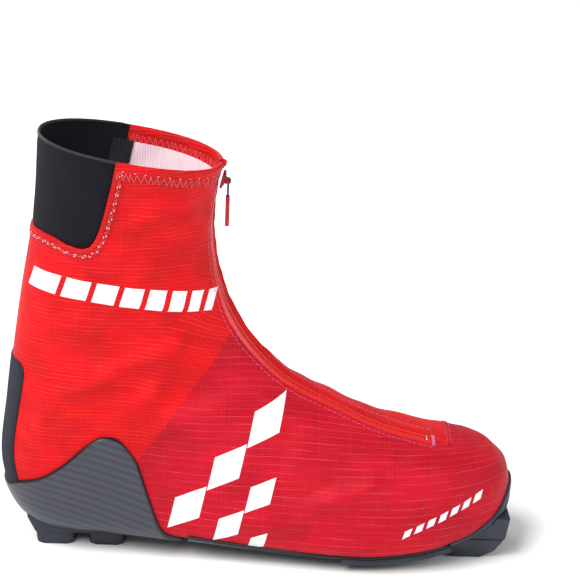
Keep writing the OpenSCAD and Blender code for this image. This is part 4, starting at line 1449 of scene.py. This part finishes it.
def graphics():
    """Plain printed shapes where the photograph has its prints."""
    # a row of slanted bars round the ankle, wide at the back and narrow at the front
    slope = -0.115
    bars, x = [], 14.0
    for width in (15, 13.5, 12, 10.5, 9, 7.5, 6, 4.5):
        bars.append(slanted(x, 152.3 + slope * (x - 11), width, 10.6, 3.2, slope))
        x += width + 3.0
    # a leaning cluster of rhombi on the middle of the foot
    big = [(103, 33, 17, 34), (124.1, 57.7, 17, 34), (145.2, 82.4, 17, 34),
           (126, 24, 13.6, 27), (142.8, 43.6, 13.6, 27), (142, 15, 9, 18)]
    small = [(192 + 5.4 * k, 26 + 6.6 * k, 7 - k, 8 - k) for k in range(5)]
    dashes = [slanted(221 + 6.6 * k, 22.2 + 2.6 * k, 4.2, 4.6, 1.4, 0.4) for k in range(7)]
    steps = [slanted(112 + 7.0 * k, 96 - 6.3 * k, 4.4, 7, 2.0, -0.9) for k in range(6)]
    steps += [slanted(119 + 7.0 * k, 79.5 - 6.3 * k, 4.4, 2.4, 0.7, -0.9) for k in range(3)]
    decal("print_bars_lateral", bars, 1)
    decal("print_bars_medial", bars, -1)
    decal("print_rhombi_lateral", [rhombus(*r) for r in big], 1)
    decal("print_dashes_toe", dashes, 1)
    decal("print_rhombi_medial", [rhombus(*r) for r in small], -1)
    decal("print_dashes_medial", steps, -1)


softshell()
collar()
cuff()
zip_parts()
welt()
topstitching()
heel_cup()
heel_stay()
sole_plate()
ball_tread()
toe_rand()
blocks()
graphics()


# ---------------------------------------------------------------- inside the boot
PER_SHARE = 11.5
INNER_COLUMNS = 56 if FINE else 30


def up_to(share):
    """mm inside a band from the zip line to a share of the way round the ring."""
    return lambda t, a: PER_SHARE * (share - share_round(t, a))


def past(share):
    return under(up_to(share), 0)


def between(t0, t1, scale=32):
    """mm, about, inside a stretch of t."""
    return lambda t, a: np.minimum(t - t0, t1 - t) * scale


def both(*values):
    """The lowest of several values, so more than 0 only where all are."""
    return lambda t, a: np.minimum.reduce([v(t, a) for v in values])


def swollen(patch, full, outer, inner, pinch=lambda t, a: 1.0):
    """A pad between two depths, where full is its share of the room between them, less at its
    edges, and pinch thins it further."""
    middle, half = (outer + inner) / 2, (outer - inner) / 2 - 0.03
    swell = lambda t, a: half * full(t, a) * pinch(t, a)
    return shell(patch, lambda t, a: middle + swell(t, a), lambda t, a: middle - swell(t, a))


def channels(distance, depth):
    """The thinning along sewn channels, from the distance to the nearest."""
    return lambda t, a: 1 - depth * np.exp(-(distance(t, a) / 1.5) ** 2)


def pad(name, patch, edge, outer, inner, material, slot, fill, *pinch):
    """A padded piece with round edges and, where pinch is given, sewn channels."""
    full = profile(edge, (0, 0.12), (0.4, 0.42), (1.0, 0.66), (2.2, 0.9), (4.5, 1.0))
    patch = scored_at(patch, edge, 0.4, 1.0, 2.2)
    obj = piece(name, swollen(patch, full, outer, inner, *pinch), material, slot, sharp=60)


def lattice(pitch):
    """Distance to the nearest line of a diagonal quilting pattern."""
    def value(t, a):
        u, v = cloth_uv(t, a).T
        far = lambda w: np.abs((w + pitch / 2) % pitch - pitch / 2)
        return np.minimum(far(u * 0.8 + v * 0.6), far(u * 0.8 - v * 0.6))
    return value


def inner_parts():
    """The padded inner boot with its tongue, footbed and ankle pads, and the storm flap."""
    cell = 2.4 if FINE else 4.5
    t = even_t(1, 13, cell)
    throat = lambda t_, a: np.maximum(past(2)(t_, a), (4 - t_) * 28)
    pad("inner_boot", cut(with_cap(wrapped_grid(t, INNER_COLUMNS), t), throat),
        both(throat, lambda t_, a: (13 - t_) * 42), -2.2, -6.2, M_INNER, "inner_fabric", 0.5,
        channels(lattice(16.0), 0.42))
    t = even_t(4.5, 13, cell)
    wide = grid(t, np.concatenate([
        angles_between(t, angle_off(t) - 1.2, angle_off(t), 26)[:, :-1],
        angles_between(t, angle_off(t), angle_off(t) + 1.2, 26)], 1))
    rows = lambda t_, a: np.abs((t_ * 2.0 + 0.5) % 1 - 0.5) * 16
    pad("tongue", cut(wide, up_to(3)), both(up_to(3), between(4.5, 13)), -10.4, -13.4, M_INNER,
        "inner_fabric", 0.6, channels(rows, 0.54))
    whole = wrapped_grid(even_t(2, 9.5, cell), INNER_COLUMNS)
    pad("footbed", cut(whole, past(8)), both(past(8), between(2, 9.5)), -6.35, -9.85, M_FOAM,
        "foam_black", 0.35)
    t = even_t(10.5, 12, cell)
    zone = both(past(5), up_to(8))
    full = profile(both(zone, between(10.5, 12, 40)), (0, 0.1), (1, 0.5), (3, 0.8), (8, 1.0))
    pads = [swollen(cut(side_grid(t, side, 50), zone), full, -6.35, -9.85) for side, _ in SIDES]
    piece("ankle_pads", joined(pads), M_FOAM, "foam_black", sharp=60)
    t = even_t(4, 13, cell)
    wide = grid(t, angles_between(t, angle_off(t) - 0.5, angle_off(t) + 0.5, 24))
    shell_piece("storm_flap", cut(wide, up_to(1)), -1.35, -2.05, M_FLAP, "flap_red")


# ---------------------------------------------------------------- lacing
LACE_A = math.radians(4)
# The lace's route between the strands, from its medial end: t, degrees from LACE_A, depth
LACE = [
    (8.9, 15, -5.8), (8.7, 24, -6.2), (8.4, 16, -7.2), (8.1, 0, -7.6),
    (7.9, -16, -7.2), (7.7, -24, -6.2), (7.4, -16, -5.2), (7.1, 0, -4.9), (6.9, 16, -5.2),
    (6.7, 24, -6.2), (6.4, 16, -7.2), (6.1, 0, -7.6), (5.9, -16, -7.2), (5.7, -24, -6.2),
    (5.4, -16, -5.6), (5.2, 0, -5.2), (5.4, 16, -5.6), (5.7, 24, -6.2), (5.9, 16, -5.2),
    (6.1, 0, -4.9), (6.4, -16, -5.2), (6.7, -24, -6.2), (6.9, -16, -7.2), (7.1, 0, -7.6),
    (7.4, 16, -7.2), (7.7, 24, -6.2), (7.9, 16, -5.2), (8.1, 0, -4.9), (8.4, -16, -5.2),
    (8.7, -24, -6.2), (8.9, -15, -5.8)]
# The two straight strands run round the zip's arc, at these degrees
STRAND_A = [184.2, 188, 192, 196, 200, 204, 206.5]
LOOPS_AT = (5.7, 6.7, 7.7, 8.7)
LACING_Y = -2.5
GRIP, LOCK = (180, 184), (197, 205)
LOCK_IN = ARC_R + 4.6
LOCK_T = 5
STRAND_R = LOCK_IN + LOCK_T / 2
ON_LACING = (Matrix.Translation((ARC_X, LACING_Y, ARC_Z)) @ Matrix.Rotation(math.pi / 2, 4, "X"))


def strand(side, degrees):
    """A place on one of the two strands between the grip and the lock."""
    x, z = on_arc(degrees, STRAND_R)
    return x, LACING_Y + 3 * side, z


def through(points, parts):
    """A smooth open curve through points."""
    p = np.asarray(points, float)
    n = len(p)
    ends = np.concatenate([[2 * p[0] - p[1]], p, [2 * p[-1] - p[-2]]])
    out = [curve_through(*ends[i:i + 4], k / parts) for i in range(n - 1) for k in range(parts)]
    return np.array(out + [p[-1]])


def thick_sheet(centres, thickness):
    """A closed sheet over a grid of centre points."""
    p = np.asarray(centres, float)
    rows, cols = p.shape[:2]
    normal = np.cross(np.gradient(p, axis=0), np.gradient(p, axis=1))
    normal /= np.linalg.norm(normal, axis=2, keepdims=True) + 1e-12
    rim = np.ones((rows, cols))
    rim[0] = rim[-1] = rim[:, 0] = rim[:, -1] = 0.6
    offset = normal * (thickness / 2 * rim)[..., None]
    points = np.concatenate([(p + offset).reshape(-1, 3), (p - offset).reshape(-1, 3)])
    n = rows * cols
    at = lambda i, j: i * cols + j
    faces = []
    for i in range(rows - 1):
        for j in range(cols - 1):
            f = (at(i, j), at(i + 1, j), at(i + 1, j + 1), at(i, j + 1))
            faces += [f, tuple(n + k for k in reversed(f))]
    ring = ([at(i, 0) for i in range(rows)] + [at(rows - 1, j) for j in range(1, cols)]
            + [at(i, cols - 1) for i in range(rows - 2, -1, -1)]
            + [at(0, j) for j in range(cols - 2, 0, -1)])
    faces += [(b, a, n + a, n + b) for a, b in zip(ring, ring[1:] + ring[:1])]
    return points, faces


def lacing():
    """The lace along its whole route, and the folded webbing loops that hold it."""
    path = ([strand(-1, a) for a in STRAND_A]
            + [skin(t, LACE_A + math.radians(a), d) for t, a, d in LACE]
            + [strand(1, a) for a in reversed(STRAND_A)])
    piece("lace", tube(resampled(through(path, 14), 0.9), 1.2), M_LACE, "lace_black")
    fold = through([(22, -3.6), (26, -3.6), (29.6, -3.6), (30.9, -4.4), (31.1, -6.2), (30.9, -8.0),
                    (29.6, -8.8), (26, -8.8), (22, -8.8)], 4)
    for side, name in SIDES:
        loops = [thick_sheet([[skin(t + s, LACE_A + side * math.radians(a), d) for a, d in fold]
                              for s in np.linspace(-0.12, 0.12, 7) * side], 0.6)
                 for t in LOOPS_AT]
        piece("lace_loops_" + name, joined(loops), M_WEBBING, "webbing_black")


def arc_solid(start, end, low, high):
    """A block of the lacing's ring, between two angles in degrees and two heights."""
    rim = [on_circle(LOCK_IN + LOCK_T, a) for a in np.linspace(end, start, 6)]
    rim += [on_circle(LOCK_IN, a) for a in np.linspace(start, end, 6)]
    return solid_from(rim[::-1], low, high)


def hard_edges(bm, degrees):
    return [e for e in bm.edges if e.calc_face_angle(0) > math.radians(degrees)]


def moved(solid, matrix):
    points, faces = solid
    return np.array([(matrix @ Vector(p))[:] for p in points]), faces


def lock_parts():
    """The moulded grip on the lace ends, and the lock with its sprung button."""
    bm = arc_solid(*GRIP, -6, 6)
    rounded(bm, 1.0, 3, hard_edges(bm, 35))
    grip = scratch(*parts_of(bm, ON_LACING))
    for degrees in (180.9, 181.9, 182.9):
        turn = ON_LACING @ Matrix.Rotation(math.radians(degrees), 4, "Z")
        boolean(grip, brick((0.8, 0.7, 9), (LOCK_IN, 0, 0), 0.15, turn))
    as_piece(grip, "lace_grip", M_BLACK)
    bm = arc_solid(*LOCK, -9.5, 6.5)
    rounded(bm, 1.1, 3, hard_edges(bm, 35))
    body = scratch(*parts_of(bm, ON_LACING))
    mid = ON_LACING @ Matrix.Rotation(math.radians(sum(LOCK) / 2), 4, "Z")
    cuts = [((3.4, 30, 3.4), (STRAND_R, 0, s * 3), 0.5) for s in (-1, 1)]
    cuts.append(((3.2, 7.2, 6), (STRAND_R, 0, -7.9), 0.2))
    cuts += [((0.8, 0.8, 8), (LOCK_IN, y, -1.5), 0.2) for y in (-3, 0, 3)]
    for size, centre, bevel in cuts:
        boolean(body, brick(size, centre, bevel, mid))
    as_piece(body, "lace_lock_body", M_BLACK, "lace_lock")
    button = brick((3, 7, 4), (STRAND_R, 0, -9.7), 0.6, mid, 3)
    piece("lace_lock_button", button, M_RED_PLASTIC, "plastic_red", "lock_button")
    turns = np.linspace(0, 2 * math.pi * 2.5, 90)
    coil = np.stack([STRAND_R + 1.08 * np.cos(turns), 1.08 * np.sin(turns),
                     np.linspace(-7.45, -5.1, 90)], -1)
    spring = piece("lace_lock_spring", moved(tube(coil, 0.16, 8), mid), M_STEEL, "steel",
                   "lace_lock")
    tuple(point(mid @ Vector((STRAND_R, 0, -4.9))))
    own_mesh(spring)


# ---------------------------------------------------------------- zip slider and pull
ON_TRACK = (Matrix.Translation((TRACK_X, zip_y(TRACK_Z), TRACK_Z))
            @ Matrix.Rotation(math.pi / 2 - math.atan(ZIP_LEAN), 4, "X"))
SLIDER_AT, PULL_HANGS_AT = 166, 256
AT_SLIDER = ON_TRACK @ Matrix.Rotation(math.radians(SLIDER_AT), 4, "Z")
PIN_UP = 5.4
AT_PIN = (AT_SLIDER @ Matrix.Translation((TRACK_R - PIN_UP, 0, 0))
          @ Matrix.Rotation(-math.radians(PULL_HANGS_AT), 4, "Z"))


Z_UP = Matrix()
X_UP = Matrix(((0, 0, 1, 0), (1, 0, 0, 0), (0, 1, 0, 0), (0, 0, 0, 1)))


def flat_part(outline_xy, low, high, bevel, matrix, turn=X_UP):
    """A bevelled plate between two heights along x, or along z where turn is Z_UP."""
    bm = solid_from(outline_xy, low, high)
    rounded(bm, bevel, 2, hard_edges(bm, 20))
    return parts_of(bm, matrix @ turn)


def round_bar(radius, half, matrix):
    """A pin along local z with slightly rounded ends."""
    line = [(0, 0, z) for z in (-half, -half + 0.15, half - 0.15, half)]
    radii = np.array([radius - 0.15, radius, radius, radius - 0.15])
    return moved(tube(line, radii, 32, up=(1, 0, 0)), matrix)


def mirrored(half):
    """A closed outline from one half of it, the other way round."""
    return (half + [(x, -z) for x, z in reversed(half)])[::-1]


def slider_parts():
    """The slider with its pin, the pull's link and the moulded tab."""
    low = TRACK_R - 3.6
    plan = mirrored([(-5, 1.0), (-4.9, 3.2), (-4.2, 4.0), (-2.0, 4.2), (1.2, 3.9), (3.6, 3.1),
                     (4.8, 2.0), (5, 1.0)])
    smaller = [(y * 0.72, z * 0.62) for y, z in plan]
    parts = [flat_part(plan, low + 0.5, low + 1.9, 0.5, AT_SLIDER),
             flat_part(smaller, low, low + 1.0, 0.35, AT_SLIDER)]
    pin = TRACK_R - PIN_UP
    ear = [(pin + x, y) for x, y in [on_circle(1.35, a) for a in np.linspace(90, 270, 12)]]
    ear += [(low + 0.9, -1.8), (low + 0.9, 1.8)]
    for s in (-1, 1):
        parts.append(flat_part(ear, s * 3 - 0.5, s * 3 + 0.5, 0.2, AT_SLIDER, Z_UP))
    parts.append(round_bar(0.8, 3.2, AT_SLIDER @ Matrix.Translation((pin, 0, 0))))
    piece("zip_slider", joined(parts), M_SLIDER, "painted_red", "zip_slider", sharp=30)
    # the link: a rolled eye on the pin and a pressed frame down to the tab
    eye, hole = ([on_circle(radius, 11.25 * k) for k in range(32)] for radius in (1.62, 0.9))
    frame_part = scratch(*flat_part(eye, -2.3, 2.3, 0.15, AT_PIN, Z_UP))
    boolean(frame_part, brick((7.2, 1.1, 4.4), (4.4, 0, 0), 0.35, AT_PIN), "UNION")
    boolean(frame_part, flat_part(hole, -5, 5, 0.01, AT_PIN, Z_UP))
    boolean(frame_part, brick((3.6, 4, 1.9), (4.6, 0, 0), 0.6, AT_PIN))
    made = as_piece(frame_part, "pull_link", M_DARK_STEEL, "zip_pull")
    round_edges(made, 0.08).angle_limit = math.radians(40)
    # the tab: a flat moulded strip, dished and ribbed on both faces
    half = [(8.02, 2.0), (8.8, 2.7), (12, 3.0), (20, 3.2), (23.6, 3.0), (24.6, 2.2), (25, 1.0)]
    bm = solid_from(mirrored(half), -1.1, 1.1)
    rounded(bm, 0.45, 3, hard_edges(bm, 20))
    tab = scratch(*parts_of(bm, AT_PIN @ Matrix.Rotation(math.pi / 2, 4, "X")))
    for s in (-1, 1):
        boolean(tab, brick((10.5, 0.9, 3.9), (17.2, s * 1.2, 0), 0.3, AT_PIN))
        for x in (14, 16, 18, 20):
            boolean(tab, brick((0.6, 0.5, 3.6), (x, s * 0.85, 0), 0.15, AT_PIN), "UNION")
    as_piece(tab, "pull_tab", M_RED_PLASTIC, "zip_pull")


def kept_nodes():
    """CAD nodes whose shapes are right: they get a material and softened edges."""
    for node, material in (("lasting_board", M_BOARD), ("toe_puff", M_PUFF),
                           ("binding_bar", M_STEEL)):
        obj = bpy.data.objects[node]
        for place in obj.material_slots:
            place.material = material
        round_edges(obj, 0.2)


inner_parts()
lacing()
lock_parts()
slider_parts()
kept_nodes()


# ---------------------------------------------------------------- stage
def lit(data, place, aim):
    """A light at a place, towards another."""
    obj = bpy.data.objects.new(data.name, data)
    obj.location = place
    obj.rotation_mode = "QUATERNION"
    obj.rotation_quaternion = (Vector(aim) - Vector(place)).to_track_quat("-Z", "Y")
    bpy.context.scene.collection.objects.link(obj)


def area_light(name, place, aim, size, watts):
    data = bpy.data.lights.new(name, "AREA")
    data.shape = "RECTANGLE"
    data.size, data.size_y = size
    data.energy = watts
    lit(data, place, aim)


FLOOR_Z = -0.0081


def studio():
    """A plain pale floor and soft light from above, the front and the back."""
    mesh = bpy.data.meshes.new("floor")
    corners = [(-6, -6), (6, -6), (6, 6), (-6, 6)]
    mesh.from_pydata([(x, y, FLOOR_Z) for x, y in corners], [], [(0, 1, 2, 3)])
    floor = bpy.data.objects.new("floor", mesh)
    bpy.context.scene.collection.objects.link(floor)
    mesh.materials.append(Material("pale_floor", 0.9, Base_Color=srgb(255, 255, 255),
                                   Specular_IOR_Level=0.1).material)
    world = bpy.data.worlds.new("studio")
    world.use_nodes = True
    background = world.node_tree.nodes["Background"]
    background.inputs["Color"].default_value = (1, 1, 1, 1)
    background.inputs["Strength"].default_value = 0.36
    bpy.context.scene.world = world
    sun = bpy.data.lights.new("sun", "SUN")
    sun.angle = math.radians(34)
    sun.energy = 2.55
    lit(sun, (0, 0, 0), (0.62, 0.36, -1))
    area_light("front", (-0.6, -0.9, 0.8), (-0.15, 0, 0.15), (0.5, 0.4), 4.9)
    area_light("toe_side", (0.9, -0.5, 0.5), (-0.1, 0, 0.06), (0.5, 0.4), 3.5)
    area_light("behind", (-0.5, 0.9, 0.6), (-0.1, 0, 0.12), (0.6, 0.5), 2.5)
    bpy.context.scene.view_settings.view_transform = "Standard"


studio()
